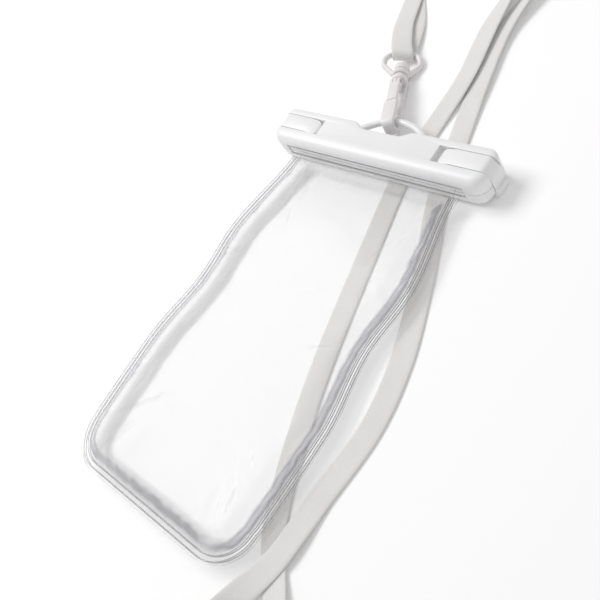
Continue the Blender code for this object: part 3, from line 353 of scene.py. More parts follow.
def sheet_columns(width):
    """Columns across a row, closest at the weld and on the slope beside it."""
    edge = [0.0, 0.25, 0.9, 1.8, 2.7, 3.6, 4.2, 4.9, 5.6, 6.4, 7.2, 8.0, 8.9, 9.8, 10.9, 12.0]
    spread = min(1.0, width / (20 * MM))
    edge = [place * MM * spread for place in edge]
    inside = width - edge[-1]
    middle = [-inside + 2 * inside * step / MIDDLE_COLUMNS for step in range(1, MIDDLE_COLUMNS)]
    left = [-width + place for place in edge]
    return left + middle + [-place for place in reversed(left)]


def make_sheet(name, height):
    """One sheet as a thin closed body, from its underside's height."""
    sheet = bmesh.new()
    under, over = [], []
    for y in sheet_rows():
        width = pouch_half_width(y)
        low, high = [], []
        for x in sheet_columns(width):
            wander = noise.noise(Vector((y / (15 * MM), 1.0 if x > 0 else 5.0, 0))) * EDGE_WAVE
            wander *= ease(1 - (width - abs(x)) / (6 * MM)) * ease((CLAMP_LOW - y) / (12 * MM))
            level = height(x, y)
            place = x - math.copysign(abs(wander), x)
            low.append(sheet.verts.new((place, y, level)))
            high.append(sheet.verts.new((place, y, level + FILM)))
        under.append(low)
        over.append(high)
    rows, columns = len(under), len(under[0])
    for row in range(rows - 1):
        for column in range(columns - 1):
            for grid in (under, over):
                sheet.faces.new((grid[row][column], grid[row][column + 1],
                                 grid[row + 1][column + 1], grid[row + 1][column]))
        for column in (0, columns - 1):
            sheet.faces.new((under[row][column], under[row + 1][column],
                             over[row + 1][column], over[row][column]))
    for row in (0, rows - 1):
        for column in range(columns - 1):
            sheet.faces.new((under[row][column], under[row][column + 1],
                             over[row][column + 1], over[row][column]))
    bmesh.ops.recalc_face_normals(sheet, faces=sheet.faces)
    mesh = bpy.data.meshes.new(name)
    sheet.to_mesh(mesh)
    sheet.free()
    mesh.shade_smooth()
    mesh.set_sharp_from_angle(angle=math.radians(60))
    piece = bpy.data.objects.new(name, mesh)
    bpy.context.scene.collection.objects.link(piece)
    return piece


FOLD_SPACING = 30 * MM            # the film's soft folds, its ripples and its haze
FOLD_RELIEF = 0.9 * MM
RIPPLE_SPACING = 6 * MM
RIPPLE_RELIEF = 0.4 * MM
HAZE_SPACING = 22 * MM
FOLD_SHADE_STOPS = (0.03, 0.28, 0.55)   # how far a fold turns from the view where the flat colour, the painted shade and the painted sheen are reached
COVER_FULL = 0.39                 # and where the film is at its densest


def clear_film(name, face, turned, edge, thin, dense, roughness):
    """Clear soft film: hardly there where it lies flat, with painted grey shade where a fold turns away from
    the view and a paler painted sheen where it turns further, glossy all over.
    """
    material, tree, shader = new_material(name, IOR=1.7, Specular_IOR_Level=0.6)
    place = add(tree, "ShaderNodeTexCoord").outputs["Object"]
    fold = add(tree, "ShaderNodeTexNoise", {"noise_type": "RIDGED_MULTIFRACTAL"}, {
        "Vector": place, "Scale": 1 / FOLD_SPACING, "Detail": 1.0, "Lacunarity": 2.2, "Distortion": 0.5})
    creased = add(tree, "ShaderNodeBump", None, {
        "Height": fold.outputs["Fac"], "Strength": 0.5, "Distance": FOLD_RELIEF})
    ripple = add(tree, "ShaderNodeTexNoise", None, {
        "Vector": place, "Scale": 1 / RIPPLE_SPACING, "Detail": 2.0, "Distortion": 0.6})
    relief = add(tree, "ShaderNodeBump", None, {
        "Height": ripple.outputs["Fac"], "Strength": 0.35, "Distance": RIPPLE_RELIEF,
        "Normal": creased.outputs["Normal"]})
    tree.links.new(relief.outputs["Normal"], shader.inputs["Normal"])
    flat = add(tree, "ShaderNodeVectorTransform", {
        "vector_type": "NORMAL", "convert_from": "OBJECT", "convert_to": "WORLD"}, {"Vector": (0, 0, 1)})
    folded, level = (
        add(tree, "ShaderNodeLayerWeight", None, {"Blend": 0.5, "Normal": normal}).outputs["Facing"]
        for normal in (relief.outputs["Normal"], flat.outputs["Vector"]))
    turning = add(tree, "ShaderNodeMath", {"operation": "SUBTRACT"}, {0: folded, 1: level}).outputs["Value"]
    # Painted shade and sheen: the base colour turns grey where a fold turns from the view, and paler again
    # where it turns further.
    tint = add(tree, "ShaderNodeValToRGB", None, {"Fac": turning})
    ramp = tint.color_ramp.elements
    ramp[0].position, ramp[1].position = FOLD_SHADE_STOPS[0], FOLD_SHADE_STOPS[2]
    ramp[0].color, ramp[1].color = linear(face), linear(edge)
    ramp.new(FOLD_SHADE_STOPS[1]).color = linear(turned)
    tree.links.new(tint.outputs["Color"], shader.inputs["Base Color"])
    cover = add(tree, "ShaderNodeMapRange", {"interpolation_type": "SMOOTHSTEP"}, {
        "Value": turning, "From Min": 0.0, "From Max": COVER_FULL, "To Min": thin, "To Max": dense})
    tree.links.new(cover.outputs["Result"], shader.inputs["Alpha"])
    haze = add(tree, "ShaderNodeTexNoise", None, {"Vector": place, "Scale": 1 / HAZE_SPACING, "Detail": 3.0})
    rough = add(tree, "ShaderNodeMapRange", None, {
        "Value": haze.outputs["Fac"], "To Min": roughness * 0.5, "To Max": roughness * 1.6})
    tree.links.new(rough.outputs["Result"], shader.inputs["Roughness"])
    return material


# Film colours: the flat film, painted grey shade where a fold turns from the view, and a paler painted sheen
# where it turns further.
FILM_FLAT = "#FAFAFA"
FILM_FOLD_SHADE = "#96949C"
FILM_EDGE_SHEEN = "#DDDCE0"

# Clear thermoplastic polyurethane, cast smooth. Where a fold turns away from the view it is drawn denser,
# with painted grey shade, and with a paler painted sheen where it turns further.
tpu_film = clear_film(
    "clear TPU film", FILM_FLAT, FILM_FOLD_SHADE, FILM_EDGE_SHEEN, thin=0.03, dense=0.6, roughness=0.09)
for name, node, height in (
        ("front_sheet", "front_film", front_height), ("rear_sheet", "rear_film", rear_height)):
    film = make_sheet(name, height)
    film.data.materials.append(tpu_film)
    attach(film, "case")
    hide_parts(node)


# Weld lines: the heated bar that joins the sheets leaves two fine raised beads along the rim.
# They follow the pouch's outline, are of the same TPU, and look denser because the film is thick there.
BEAD_RADIUS = 0.22 * MM
BEAD_OFFSETS = (1.1 * MM, 3.1 * MM)
RIM_TOP = CLAMP_LOW - 2 * MM      # the beads end just below the clamp
RIM_STEPS = 60
CORNER_STEPS = 14

# Weld colours: the denser welded film, painted grey shade where a bead turns from the view, and a paler
# painted sheen beyond that.
WELD_FLAT = "#E0DEE2"
WELD_FOLD_SHADE = "#7A7681"
WELD_EDGE_SHEEN = "#C4C2C8"

# The same film melted into one: thicker, denser and a little less smooth, with the same painted shade and
# sheen where it turns from the view.
weld_tpu = clear_film("welded TPU", WELD_FLAT, WELD_FOLD_SHADE, WELD_EDGE_SHEEN, thin=0.32, dense=0.85, roughness=0.12)


def rim_points(offset):
    """The rim's line, moved inside the edge, from the clamp down, round and up again."""
    points = []
    bottom = POUCH_BOTTOM + offset
    step = (RIM_TOP - POUCH_BOTTOM - CORNER) / RIM_STEPS
    for index in range(RIM_STEPS):
        y = RIM_TOP - step * index
        points.append((pouch_half_width(y) - offset, y))
    middle = (BOTTOM_HALF - CORNER, POUCH_BOTTOM + CORNER)
    for index in range(CORNER_STEPS + 1):
        angle = math.radians(-90 * index / CORNER_STEPS)
        reach = CORNER - offset
        points.append((middle[0] + reach * math.cos(angle), middle[1] + reach * math.sin(angle)))
    points.append((0.0, bottom))
    return points + [(-x, y) for x, y in reversed(points[:-1])]


def bead_tree():
    """Geometry Nodes: a round bead along a curve, with its radius as an input."""
    tree = bpy.data.node_groups.new("weld bead", "GeometryNodeTree")
    tree.interface.new_socket("Geometry", in_out="INPUT", socket_type="NodeSocketGeometry")
    tree.interface.new_socket("Bead Radius", in_out="INPUT", socket_type="NodeSocketFloat")
    tree.interface.new_socket("Finish", in_out="INPUT", socket_type="NodeSocketMaterial")
    tree.interface.new_socket("Geometry", in_out="OUTPUT", socket_type="NodeSocketGeometry")
    inputs = add(tree, "NodeGroupInput")
    line = add(tree, "GeometryNodeMeshToCurve", None, {"Mesh": inputs.outputs["Geometry"]})
    ring = add(tree, "GeometryNodeCurvePrimitiveCircle", None, {
        "Resolution": 6, "Radius": inputs.outputs["Bead Radius"]})
    bead = add(tree, "GeometryNodeCurveToMesh", None, {
        "Curve": line.outputs["Curve"], "Profile Curve": ring.outputs["Curve"], "Fill Caps": True})
    smooth = add(tree, "GeometryNodeSetShadeSmooth", None, {"Geometry": bead.outputs["Mesh"]})
    real = add(tree, "GeometryNodeRealizeInstances", None, {"Geometry": smooth.outputs["Geometry"]})
    finish = add(tree, "GeometryNodeSetMaterial", None, {
        "Geometry": real.outputs["Geometry"], "Material": inputs.outputs["Finish"]})
    add(tree, "NodeGroupOutput", None, {"Geometry": finish.outputs["Geometry"]})
    return tree


def grown(name, mesh, tree, values):
    """Runs a Geometry Nodes tree on a mesh and keeps the result as a plain mesh."""
    seed = bpy.data.objects.new(name + "_seed", mesh)
    bpy.context.scene.collection.objects.link(seed)
    modifier = seed.modifiers.new("grow", "NODES")
    modifier.node_group = tree
    for item in tree.interface.items_tree:
        if item.item_type == "SOCKET" and item.in_out == "INPUT" and item.name in values:
            modifier[item.identifier] = values[item.name]
    bpy.context.view_layer.update()
    graph = bpy.context.evaluated_depsgraph_get()
    result = bpy.data.meshes.new_from_object(seed.evaluated_get(graph))
    bpy.data.objects.remove(seed, do_unlink=True)
    result.name = name
    piece = bpy.data.objects.new(name, result)
    bpy.context.scene.collection.objects.link(piece)
    return piece


bead_nodes = bead_tree()
for side, level in (("front", WELD_FRONT + FILM), ("rear", WELD_REAR)):
    rim = bmesh.new()
    for offset in BEAD_OFFSETS:
        ring = [rim.verts.new((x, y, level)) for x, y in rim_points(offset)]
        for first, second in zip(ring, ring[1:]):
            rim.edges.new((first, second))
    line = bpy.data.meshes.new(side + "_weld_line")
    rim.to_mesh(line)
    rim.free()
    bead = grown(side + "_weld_beads", line, bead_nodes, {"Bead Radius": BEAD_RADIUS, "Finish": weld_tpu})
    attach(bead, "case")


# Front bar of the clamp: the part that faces out, white ABS from the same mould shop as the rear bar.
# Its lower edge slopes, its ends curve away, and each end has a channel for a latch's tongue.
FRONT_BAR_EDGE = 0.45 * MM

moulding("front_bar", "case", white_abs, FRONT_BAR_EDGE)


# Latches: a thin springy tongue lies in the front bar's channel and a wall goes round the clamp's end.
# A lip at the foot of that wall takes the thumb. The same ABS, on a drawn steel pin.
LATCH_EDGE = 0.4 * MM
LATCH_LOW = 52.73 * MM
LATCH_HIGH = 59.73 * MM
TONGUE_GROWTH = 2.0 * MM          # the tongue reaches further into its channel
TONGUE_TIP = 32.2 * MM
TIP_DROP = 1.0 * MM               # and slopes down at its tip
TIP_CORNER = 2.2 * MM
TIP_RUN = 4.0 * MM                # where the slope starts, and how long it takes
TIP_FADE = 3.0 * MM
TONGUE_TOP = 12.9 * MM            # only the top face slopes
OUTLINE_TOP = 16.0 * MM           # above the whole latch
WALL_START = 54.0 * MM
WALL_SHARE = 0.62                 # the wall and the lip keep closer to the clamp's end
LIP_END = 56.7 * MM
LIP_CORNER = 1.2 * MM
PIN_STEEL = "#B9BABC"

# Plain steel wire, with fine marks from the die it was drawn through.
steel, steel_tree, steel_shader = new_material("drawn steel wire", Metallic=1.0)
steel_shader.inputs["Base Color"].default_value = linear(PIN_STEEL)
steel_place = add(steel_tree, "ShaderNodeTexCoord").outputs["Object"]
steel_lines = add(steel_tree, "ShaderNodeTexNoise", None, {
    "Vector": steel_place, "Scale": 1 / (0.4 * MM), "Detail": 2.0})
steel_rough = add(steel_tree, "ShaderNodeMapRange", None, {
    "Value": steel_lines.outputs["Fac"], "To Min": 0.22, "To Max": 0.38})
steel_tree.links.new(steel_rough.outputs["Result"], steel_shader.inputs["Roughness"])


def shape_latch(solid):
    """A longer tongue with a sloping tip, and a wall and lip that keep close to the clamp."""
    for side in (-1, 1):
        bmesh.ops.bisect_plane(
            solid, geom=solid.verts[:] + solid.edges[:] + solid.faces[:], dist=1e-6,
            plane_co=(side * (TONGUE_TIP + TONGUE_GROWTH + TIP_RUN), 0, 0), plane_no=(1, 0, 0))
    for vert in solid.verts:
        x = abs(vert.co.x)
        tip = ease((TONGUE_TIP + TONGUE_GROWTH + TIP_RUN - x) / TIP_FADE)
        if vert.co.z > TONGUE_TOP:
            vert.co.z -= TIP_DROP * tip
        x -= TONGUE_GROWTH * tip
        if x > WALL_START:
            x = WALL_START + (x - WALL_START) * WALL_SHARE
        vert.co.x = math.copysign(x, vert.co.x)


def latch_outline(side):
    """A block with the latch's outline from the front: round tip, and lip with cut corners."""
    points = []
    for step in range(7):
        angle = math.radians(90 * step / 6)
        points.append((TONGUE_TIP + TIP_CORNER * (1 - math.sin(angle)),
                       LATCH_LOW + TIP_CORNER * (1 - math.cos(angle))))
    points += [(x, LATCH_LOW + LATCH_HIGH - y) for x, y in reversed(points)]
    points += [(LIP_END - LIP_CORNER, LATCH_HIGH + MM), (LIP_END - LIP_CORNER, LATCH_HIGH),
               (LIP_END + LIP_CORNER, LATCH_HIGH - 2 * LIP_CORNER),
               (LIP_END + LIP_CORNER, LATCH_LOW + 2 * LIP_CORNER),
               (LIP_END - LIP_CORNER, LATCH_LOW), (LIP_END - LIP_CORNER, LATCH_LOW - MM)]
    shape = bmesh.new()
    low = [shape.verts.new((side * x, y, -MM)) for x, y in points]
    base = shape.faces.new(low)
    for item in bmesh.ops.extrude_face_region(shape, geom=[base])["geom"]:
        if isinstance(item, bmesh.types.BMVert):
            item.co.z = OUTLINE_TOP
    bmesh.ops.recalc_face_normals(shape, faces=shape.faces)
    mesh = bpy.data.meshes.new("latch_outline")
    shape.to_mesh(mesh)
    shape.free()
    block = bpy.data.objects.new("latch_outline", mesh)
    bpy.context.scene.collection.objects.link(block)
    return block


for side, sign in (("left", -1), ("right", 1)):
    moulding(side + "_latch", side + "_latch", white_abs, LATCH_EDGE,
             refine=shape_latch, outline=latch_outline(sign))
    finish_node(side + "_latch_pin", steel)


# Snap hook: off-white acetal, a little pinker and waxier than the clamp, with a gate on a small pin.
# The nose is wide and flat, the gate narrower, and a round collar carries the swivel's stem.
HOOK_EDGE = 0.28 * MM
ACETAL = "#ECE9E9"
ACETAL_SHADE = "#E2DDDE"
HOOK_ORIGIN = (-5.2, 71.057, 6.8)   # where it hangs on the eyelet, in millimetres
HOOK_LEAN = 27.5
SOLID_RING_BAR = 44.8 * MM        # the solid ring's bar, from the eyelet's wire
SOLID_BAR_HEIGHT = 2.9 * MM
HOOK_TILT = math.asin((EYELET_HEIGHT - SOLID_BAR_HEIGHT) / SOLID_RING_BAR)
HOOK_SLIMMING = 0.88              # its width beside the solid's
BEND_TIGHTENING = 0.86            # and its bend round the eyelet
COLLAR_START = 24.4 * MM          # distances from the eyelet's wire
NOSE_SHIFT = 2.4 * MM             # the nose ends nearer the eyelet
NOSE_START, NOSE_RISE = 3 * MM, 4 * MM
NOSE_END, NOSE_FALL = 19 * MM, 3 * MM
ACETAL_MOTTLE = 9 * MM
ACETAL_SKIN = 0.6 * MM

hook_frame = (Matrix.Translation(Vector(HOOK_ORIGIN) * MM)
              @ Matrix.Rotation(math.radians(HOOK_LEAN), 4, "Z") @ Matrix.Rotation(-HOOK_TILT, 4, "X"))


def shape_hook(solid):
    """A slimmer hook with a tighter bend, whose nose gives way to the gate sooner."""
    for vert in solid.verts:
        across, along, out = hook_frame.inverted() @ vert.co
        if along < COLLAR_START:
            across *= HOOK_SLIMMING
        if along < 0:
            along *= BEND_TIGHTENING
        along -= NOSE_SHIFT * ease((along - NOSE_START) / NOSE_RISE) * ease((NOSE_END - along) / NOSE_FALL)
        vert.co = hook_frame @ Vector((across, along, out))


# Acetal, the springy plastic of snap hooks: off-white, waxy, satin.
acetal = moulded_plastic(
    "moulded acetal", ACETAL, ACETAL_SHADE, ACETAL_MOTTLE, ACETAL_SKIN, roughness=0.4, bump=0.12)
moulding("hook_body", "hook", acetal, HOOK_EDGE, refine=shape_hook)
moulding("hook_gate", "gate", acetal, HOOK_EDGE, refine=shape_hook)
finish_node("hook_gate_pin", steel)


# Swivel ring: a D of round acetal with a boss, snapped over the hook's stem so that it turns freely.
# It lies turned a little on the stem, with its bar lifted by the strap folded under it.
RING_EDGE = 0.2 * MM
RING_NARROWING = 1.2 * MM         # each side of the D
RING_BAR = 42.1 * MM              # from the eyelet's wire
RING_TURN = math.radians(20)
BAR_LIFT = 1.1 * MM
RING_BOSS = 4 * MM                # the boss keeps its width this far out
BAR_START, BAR_RUN = 33 * MM, 8 * MM
LIFT_START, LIFT_RUN = 31 * MM, 9 * MM


def shape_ring(solid):
    """A smaller D, turned on the stem, with its bar lifted."""
    for vert in solid.verts:
        across, along, out = hook_frame.inverted() @ vert.co
        across -= math.copysign(RING_NARROWING * ease((abs(across) - RING_BOSS) / RING_BOSS), across)
        along -= (SOLID_RING_BAR - RING_BAR) * ease((along - BAR_START) / BAR_RUN)
        turned = Matrix.Rotation(RING_TURN, 3, "Y") @ Vector((across, along, out))
        turned.z += BAR_LIFT * ease((along - LIFT_START) / LIFT_RUN)
        vert.co = hook_frame @ turned


moulding("swivel_ring", "ring", acetal, RING_EDGE, refine=shape_ring)


# Strap: flat polyester webbing, 9.4 mm wide, pale warm grey, woven fine with a firm selvedge.
# One long piece makes the neck loop and both its ends go into the crimp.
# Its route lies on the floor, under the clamp and the pouch, and turns back on edge at each end.
STRAP_WIDTH = 9.4 * MM
STRAP_THICKNESS = 0.9 * MM
STRAP_FLOOR = 0.1 * MM
LAYER_LIFT = 1.25 * MM
SELVEDGE = 0.55 * MM              # the firmer edge of the weave
RIB_SPACING = 0.75 * MM           # warp ribs, drawn a little coarser than the real 0.4 mm to show
PICK_SPACING = 0.55 * MM
STRAP_STEP = 3.5 * MM
# The weave's crests take the lighter tone and its hollows the darker one as painted shade; the uneven dye
# also mixes the two.
STRAP_LIGHT = "#EFEEEC"
STRAP_DARK = "#DCDAD8"
CRIMP_END = (-50.11, 157.33)      # where the strap leaves the crimp, in millimetres
CRIMP_NEAR = (-53.34, 163.54)
STRAP_ROUTE = (
    (*CRIMP_END, 0, 1), (*CRIMP_NEAR, -12, 1),
    (-62.5, 172.5, -60, 0.6), (-68.5, 193, -90, 0), (-57, 217, -90, 0), (-29, 229, -90, 0),
    (0, 218, -90, 0), (13.5, 194, -90, 0), (16.5, 162, -45, 0), (13.4, 131, -14, 0),
    (18.2, 103, -9, 0), (24.5, 76, -2, 0), (32.5, 46, 0, 0), (42.1, 23.9, 0, 0),
    (49.6, 5.2, 0, 0), (58.1, -19.7, 0, 0), (62, -45, 0, 0), (59.9, -73, 0, 0.2),
    (58.6, -97, 0, 1), (52, -121, 35, 0.3), (49, -144, 90, 0), (60, -164, 90, 0),
    (80, -164, 90, 0), (89, -144, 90, 0), (79, -121, 35, 0), (57, -97, 0, 0),
    (46, -79, 0, 0), (31.5, -38, 0, 0), (17.5, 20, 0, 0), (10.8, 52, 0, 0),
    (10.4, 76, 2, 0), (10.8, 103, 9, 0.5), (7, 131, 14, 1), (5.5, 162, 45, 0),
    (1.5, 187, 90, 0), (-11, 206, 90, 0), (-30, 215, 90, 0), (-50, 207, 90, 0),
    (-60, 190, 90, 0), (-58.6, 172.5, 60, 0),
    (*CRIMP_NEAR, 12, 0), (*CRIMP_END, 0, 0),
)


def smooth_line(points, step):
    """Samples of a curve that passes smoothly through the points."""
    samples = []
    last = len(points) - 1
    for index in range(last):
        before, start = points[max(index - 1, 0)], points[index]
        end, after = points[index + 1], points[min(index + 2, last)]
        pieces = max(1, round((end.xyz - start.xyz).length / step))
        for piece in range(pieces):
            t = piece / pieces
            samples.append(0.5 * (
                2 * start + (end - before) * t + (2 * before - 5 * start + 4 * end - after) * t ** 2
                + (3 * start - 3 * end + after - before) * t ** 3))
    samples.append(points[-1])
    return samples


def webbing_section():
    """The strap's cross-section, as (across, out, place across from 0 to 1): flat with round selvedges."""
    half, thick = STRAP_WIDTH / 2, STRAP_THICKNESS / 2
    top = [(-half + SELVEDGE * 0.25, 0.6), (-half + SELVEDGE, 1.0), (-half * 0.6, 0.86), (-half * 0.2, 0.86),
           (half * 0.2, 0.86), (half * 0.6, 0.86), (half - SELVEDGE, 1.0), (half - SELVEDGE * 0.25, 0.6)]
    outline = [(-half, 0.0)] + top + [(half, 0.0)] + [(across, -out) for across, out in reversed(top)]
    return [(across, out * thick, across / (2 * half) + 0.5) for across, out in outline]


def weave(name, centres, sides):
    """A woven strap along centre points; each side vector points across it. The UV map is in metres."""
    section = webbing_section()
    strap = bmesh.new()
    chart = strap.loops.layers.uv.new("UVMap")
    rings = []
    run = 0.0
    last = len(centres) - 1
    for index, (centre, side) in enumerate(zip(centres, sides)):
        ahead = (centres[min(index + 1, last)] - centres[max(index - 1, 0)]).normalized()
        side = (side - ahead * side.dot(ahead)).normalized()
        out = ahead.cross(side).normalized()
        if index:
            run += (centre - centres[index - 1]).length
        ring = [strap.verts.new(centre + side * across + out * lift) for across, lift, share in section]
        rings.append((ring, run))
    count = len(section)
    for (near, near_run), (far, far_run) in zip(rings, rings[1:]):
        for index in range(count):
            following = (index + 1) % count
            face = strap.faces.new((near[index], near[following], far[following], far[index]))
            across, beyond = section[index][2], section[following][2]
            places = ((across, near_run), (beyond, near_run), (beyond, far_run), (across, far_run))
            for loop, (u, v) in zip(face.loops, places):
                loop[chart].uv = (u * STRAP_WIDTH, v)
    strap.faces.new(rings[0][0])
    strap.faces.new(list(reversed(rings[-1][0])))
    bmesh.ops.recalc_face_normals(strap, faces=strap.faces)
    mesh = bpy.data.meshes.new(name)
    strap.to_mesh(mesh)
    strap.free()
    mesh.shade_smooth()
    mesh.set_sharp_from_angle(angle=math.radians(75))
    piece = bpy.data.objects.new(name, mesh)
    bpy.context.scene.collection.objects.link(piece)
    return piece


def woven_polyester():
    """Plain-woven webbing: ribs along it and picks across it, with the weave's hollows painted darker as
    shade, and a slightly uneven dye.

    A wave texture's bands lie pi / (10 * scale) apart.
    """
    material, tree, shader = new_material(
        "woven polyester webbing", Roughness=0.85, Sheen_Weight=0.25, Sheen_Roughness=0.5)
    chart = add(tree, "ShaderNodeUVMap", {"uv_map": "UVMap"}).outputs["UV"]
    ribs = add(tree, "ShaderNodeTexWave", {"bands_direction": "X"}, {
        "Vector": chart, "Scale": math.pi / (10 * RIB_SPACING), "Distortion": 0.3, "Detail": 1.0,
        "Detail Scale": 2.0})
    picks = add(tree, "ShaderNodeTexWave", {"bands_direction": "Y"}, {
        "Vector": chart, "Scale": math.pi / (10 * PICK_SPACING), "Distortion": 0.3, "Detail": 1.0,
        "Detail Scale": 2.0})
    cross = add(tree, "ShaderNodeMath", {"operation": "MULTIPLY"}, {
        0: ribs.outputs["Fac"], 1: picks.outputs["Fac"]})
    dye = add(tree, "ShaderNodeTexNoise", None, {"Vector": chart, "Scale": 1 / (11 * MM), "Detail": 3.0})
    uneven = add(tree, "ShaderNodeMath", {"operation": "MULTIPLY_ADD"}, {
        0: dye.outputs["Fac"], 1: 0.5, 2: -0.1})
    # The weave's height paints its hollows darker as shade; the dye noise adds uneven dye.
    share = add(tree, "ShaderNodeMath", {"operation": "MULTIPLY_ADD", "use_clamp": True}, {
        0: cross.outputs["Value"], 1: 0.55, 2: uneven.outputs["Value"]})
    tint = add(tree, "ShaderNodeMix", {"data_type": "RGBA"}, {"Factor": share.outputs["Value"]})
    tint.inputs[6].default_value = linear(STRAP_DARK)
    tint.inputs[7].default_value = linear(STRAP_LIGHT)
    tree.links.new(tint.outputs[2], shader.inputs["Base Color"])
    relief = add(tree, "ShaderNodeBump", None, {
        "Height": cross.outputs["Value"], "Strength": 0.5, "Distance": 0.12 * MM})
    tree.links.new(relief.outputs["Normal"], shader.inputs["Normal"])
    return material


webbing = woven_polyester()
knots = [Vector((x * MM, y * MM, roll * MM, lift * MM)) for x, y, roll, lift in STRAP_ROUTE]
strap_line = smooth_line(knots, STRAP_STEP)
strap_centres, strap_sides = [], []
for index, knot in enumerate(strap_line):
    beyond = strap_line[min(index + 1, len(strap_line) - 1)]
    heading = beyond.xy - strap_line[max(index - 1, 0)].xy
    heading = Vector((heading.x, heading.y, 0)).normalized()
    roll = math.radians(max(-90.0, min(90.0, knot.z / MM)))
    level = STRAP_FLOOR + STRAP_THICKNESS / 2 * math.cos(roll) + STRAP_WIDTH / 2 * abs(math.sin(roll))
    strap_centres.append(Vector((knot.x, knot.y, level + max(0.0, knot.w / MM) * LAYER_LIFT)))
    strap_sides.append(heading.cross(Vector((0, 0, 1))) * math.cos(roll) + Vector((0, 0, 1)) * math.sin(roll))
neck_strap = weave("neck_strap_webbing", strap_centres, strap_sides)
neck_strap.data.materials.append(webbing)
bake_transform(neck_strap)
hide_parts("neck_strap")


# End loop: the same webbing, folded once round the ring's bar, with both layers going into the crimp.
# It is laid out in the hook's own frame, which leans and tilts. Its fold turns with the ring, and the
# webbing twists from there to the crimp, which stays with the strap.
CRIMP_START = 88.0 * MM
LOOP_END = CRIMP_START - 0.6 * MM
RING_WRAP = 2.05 * MM             # radius of the fold's centre line
LOOP_STEP = 1.5 * MM
RING_BAR_HEIGHT = EYELET_HEIGHT - RING_BAR * math.sin(HOOK_TILT) + BAR_LIFT


def above_floor(along, aside, level, turn=0.0):
    """A point over the floor below the hook's line, in the hook's frame, with the strap's turn there."""
    spot = hook_frame @ Vector((0, along, 0))
    return Vector((aside, along, (hook_frame.inverted() @ Vector((spot.x, spot.y, level))).z, turn))


layer = STRAP_FLOOR + STRAP_THICKNESS / 2
loop_run = LOOP_END - RING_BAR
loop_rise = RING_BAR_HEIGHT - layer
loop_lean = RING_TURN * 0.6
loop_knots = [
    above_floor(LOOP_END, 0, layer + LAYER_LIFT), above_floor(LOOP_END - 3 * MM, 0, layer + LAYER_LIFT),
    above_floor(LOOP_END - loop_run * 0.3, -1.5 * MM, layer + LAYER_LIFT + loop_rise * 0.15, loop_lean * 0.2),
    above_floor(
        LOOP_END - loop_run * 0.55, -2.4 * MM, layer + 1.2 * LAYER_LIFT + loop_rise * 0.45, loop_lean * 0.6),
    above_floor(LOOP_END - loop_run * 0.85, -1.2 * MM, layer + 1.3 * LAYER_LIFT + loop_rise * 0.9, loop_lean)]
for step in range(9):
    angle = math.radians(90 - 180 * step / 8)
    fold = Matrix.Rotation(RING_TURN, 3, "Y") @ Vector((
        (step - 4) / 4 * 0.5 * MM, RING_BAR - RING_WRAP * math.cos(angle), RING_WRAP * math.sin(angle)))
    loop_knots.append(Vector((fold.x, fold.y, fold.z + BAR_LIFT, RING_TURN)))
loop_knots += [
    above_floor(LOOP_END - loop_run * 0.85, 1.2 * MM, layer + loop_rise * 0.55, loop_lean),
    above_floor(LOOP_END - loop_run * 0.55, 2.4 * MM, layer + loop_rise * 0.25, loop_lean * 0.6),
    above_floor(LOOP_END - loop_run * 0.3, 1.5 * MM, layer + loop_rise * 0.05, loop_lean * 0.2),
    above_floor(LOOP_END - 3 * MM, 0, layer), above_floor(LOOP_END, 0, layer)]
loop_samples = smooth_line(loop_knots, LOOP_STEP)
loop_line = [hook_frame @ knot.to_3d() for knot in loop_samples]
loop_sides = [
    hook_frame.to_3x3() @ Vector((math.cos(knot.w), 0, -math.sin(knot.w))) for knot in loop_samples]
end_loop = weave("end_loop_webbing", loop_line, loop_sides)
end_loop.data.materials.append(webbing)
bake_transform(end_loop)
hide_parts("strap_end_loop")


# Crimp: an off-white moulded clip pressed flat over the loop and both ends of the strap.
# Three pressed grooves across it bite into the webbing.
CRIMP_EDGE = 0.3 * MM
CRIMP_TOP = 3.4 * MM
CRIMP_LENGTH = 9.0 * MM
CRIMP_GROOVE = (8.4 * MM, 0.8 * MM, 0.5 * MM)     # length, width and depth of each pressed groove
GROOVE_PLACES = (0.25, 0.5, 0.75)                 # as shares of the crimp's length


def groove_block(along):
    """A block that cuts one groove across the crimp's top."""
    spot = hook_frame @ Vector((0, CRIMP_START, 0))
    shape = bmesh.new()
    bmesh.ops.create_cube(shape, size=1.0)
    length, width, depth = CRIMP_GROOVE
    turn = Matrix.Rotation(math.radians(HOOK_LEAN), 4, "Z")
    place = Matrix.Translation((spot.x, spot.y, CRIMP_TOP)) @ turn @ Matrix.Translation((0, along, 0))
    place = place @ Matrix.Diagonal((length, width, 2 * depth, 1))
    bmesh.ops.transform(shape, matrix=place, verts=shape.verts)
    mesh = bpy.data.meshes.new("groove")
    shape.to_mesh(mesh)
    shape.free()
    block = bpy.data.objects.new("groove", mesh)
    bpy.context.scene.collection.objects.link(block)
    return block


grooves = [groove_block(CRIMP_LENGTH * share) for share in GROOVE_PLACES]
crimp = moulding("strap_crimp", "hook", acetal, CRIMP_EDGE, cuts=grooves)


# Floor: a plain white sweep. It takes the soft shadow, and the world around it is white.
FLOOR_WHITE = "#FBFBFB"
SKY_STRENGTH = 0.58

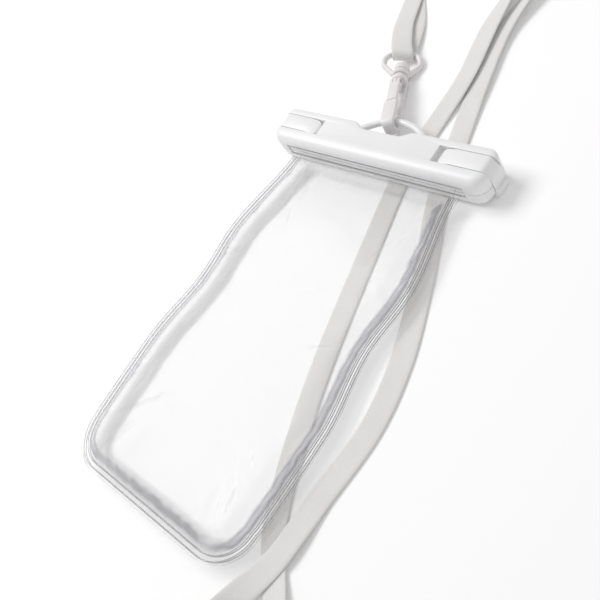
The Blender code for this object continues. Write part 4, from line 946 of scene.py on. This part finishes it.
floor_mesh = bpy.data.meshes.new("studio_floor")
sheet = bmesh.new()
bmesh.ops.create_grid(sheet, x_segments=1, y_segments=1, size=6.0)
sheet.to_mesh(floor_mesh)
sheet.free()
floor = bpy.data.objects.new("studio_floor", floor_mesh)
bpy.context.scene.collection.objects.link(floor)
paper, paper_tree, paper_shader = new_material(
    "white paper", Roughness=0.95, Specular_IOR_Level=0.1, Emission_Strength=0.05)
paper_shader.inputs["Base Color"].default_value = linear(FLOOR_WHITE)
paper_shader.inputs["Emission Color"].default_value = linear(FLOOR_WHITE)
floor_mesh.materials.append(paper)

world = bpy.data.worlds.new("white studio")
world.use_nodes = True
bpy.context.scene.world = world
sky = world.node_tree.nodes["Background"]
sky.inputs["Color"].default_value = (1.0, 1.0, 1.0, 1.0)
sky.inputs["Strength"].default_value = SKY_STRENGTH


def softbox(name, place, towards, size, power):
    """A rectangular lamp that faces a point."""
    lamp = bpy.data.lights.new(name, "AREA")
    lamp.shape = "RECTANGLE"
    lamp.size, lamp.size_y = size
    lamp.energy = power
    item = bpy.data.objects.new(name, lamp)
    item.location = place
    item.rotation_euler = (Vector(towards) - Vector(place)).to_track_quat("-Z", "Y").to_euler()
    bpy.context.scene.collection.objects.link(item)


# A large softbox from the left gives the soft shadow; a weak one lights the right side.
softbox("key_softbox", place=(-0.75, 0.05, 0.95), towards=(0, 0, 0), size=(0.7, 0.5), power=8.3)
softbox("side_softbox", place=(0.9, -0.2, 0.6), towards=(0, 0, 0), size=(0.25, 0.9), power=0.3)


# Camera: high over the right of the clamp, looking down the pouch, as the case is usually shown.
# Its three directions are at right angles, and it looks along the reverse of the last.
CAMERA_PLACE = (0.20206, -0.07672, 0.22187)
CAMERA_RIGHT = (0.69324556, 0.54962597, -0.46617795)
CAMERA_UP = (-0.30295836, 0.80915473, 0.50347279)
CAMERA_BACK = (0.65393182, -0.20779777, 0.72745671)
FOCAL_LENGTH = 46.578             # in millimetres, as the sensor's width is
SENSOR_WIDTH = 36.0

lens = bpy.data.cameras.new("camera")
lens.sensor_width = SENSOR_WIDTH
lens.lens = FOCAL_LENGTH
lens.clip_start = 0.01
lens.clip_end = 20.0
camera = bpy.data.objects.new("camera", lens)
turn = Matrix((CAMERA_RIGHT, CAMERA_UP, CAMERA_BACK)).transposed().to_4x4()
camera.matrix_world = Matrix.Translation(CAMERA_PLACE) @ turn
bpy.context.scene.collection.objects.link(camera)
bpy.context.scene.camera = camera
bpy.context.scene.view_settings.view_transform = "Standard"
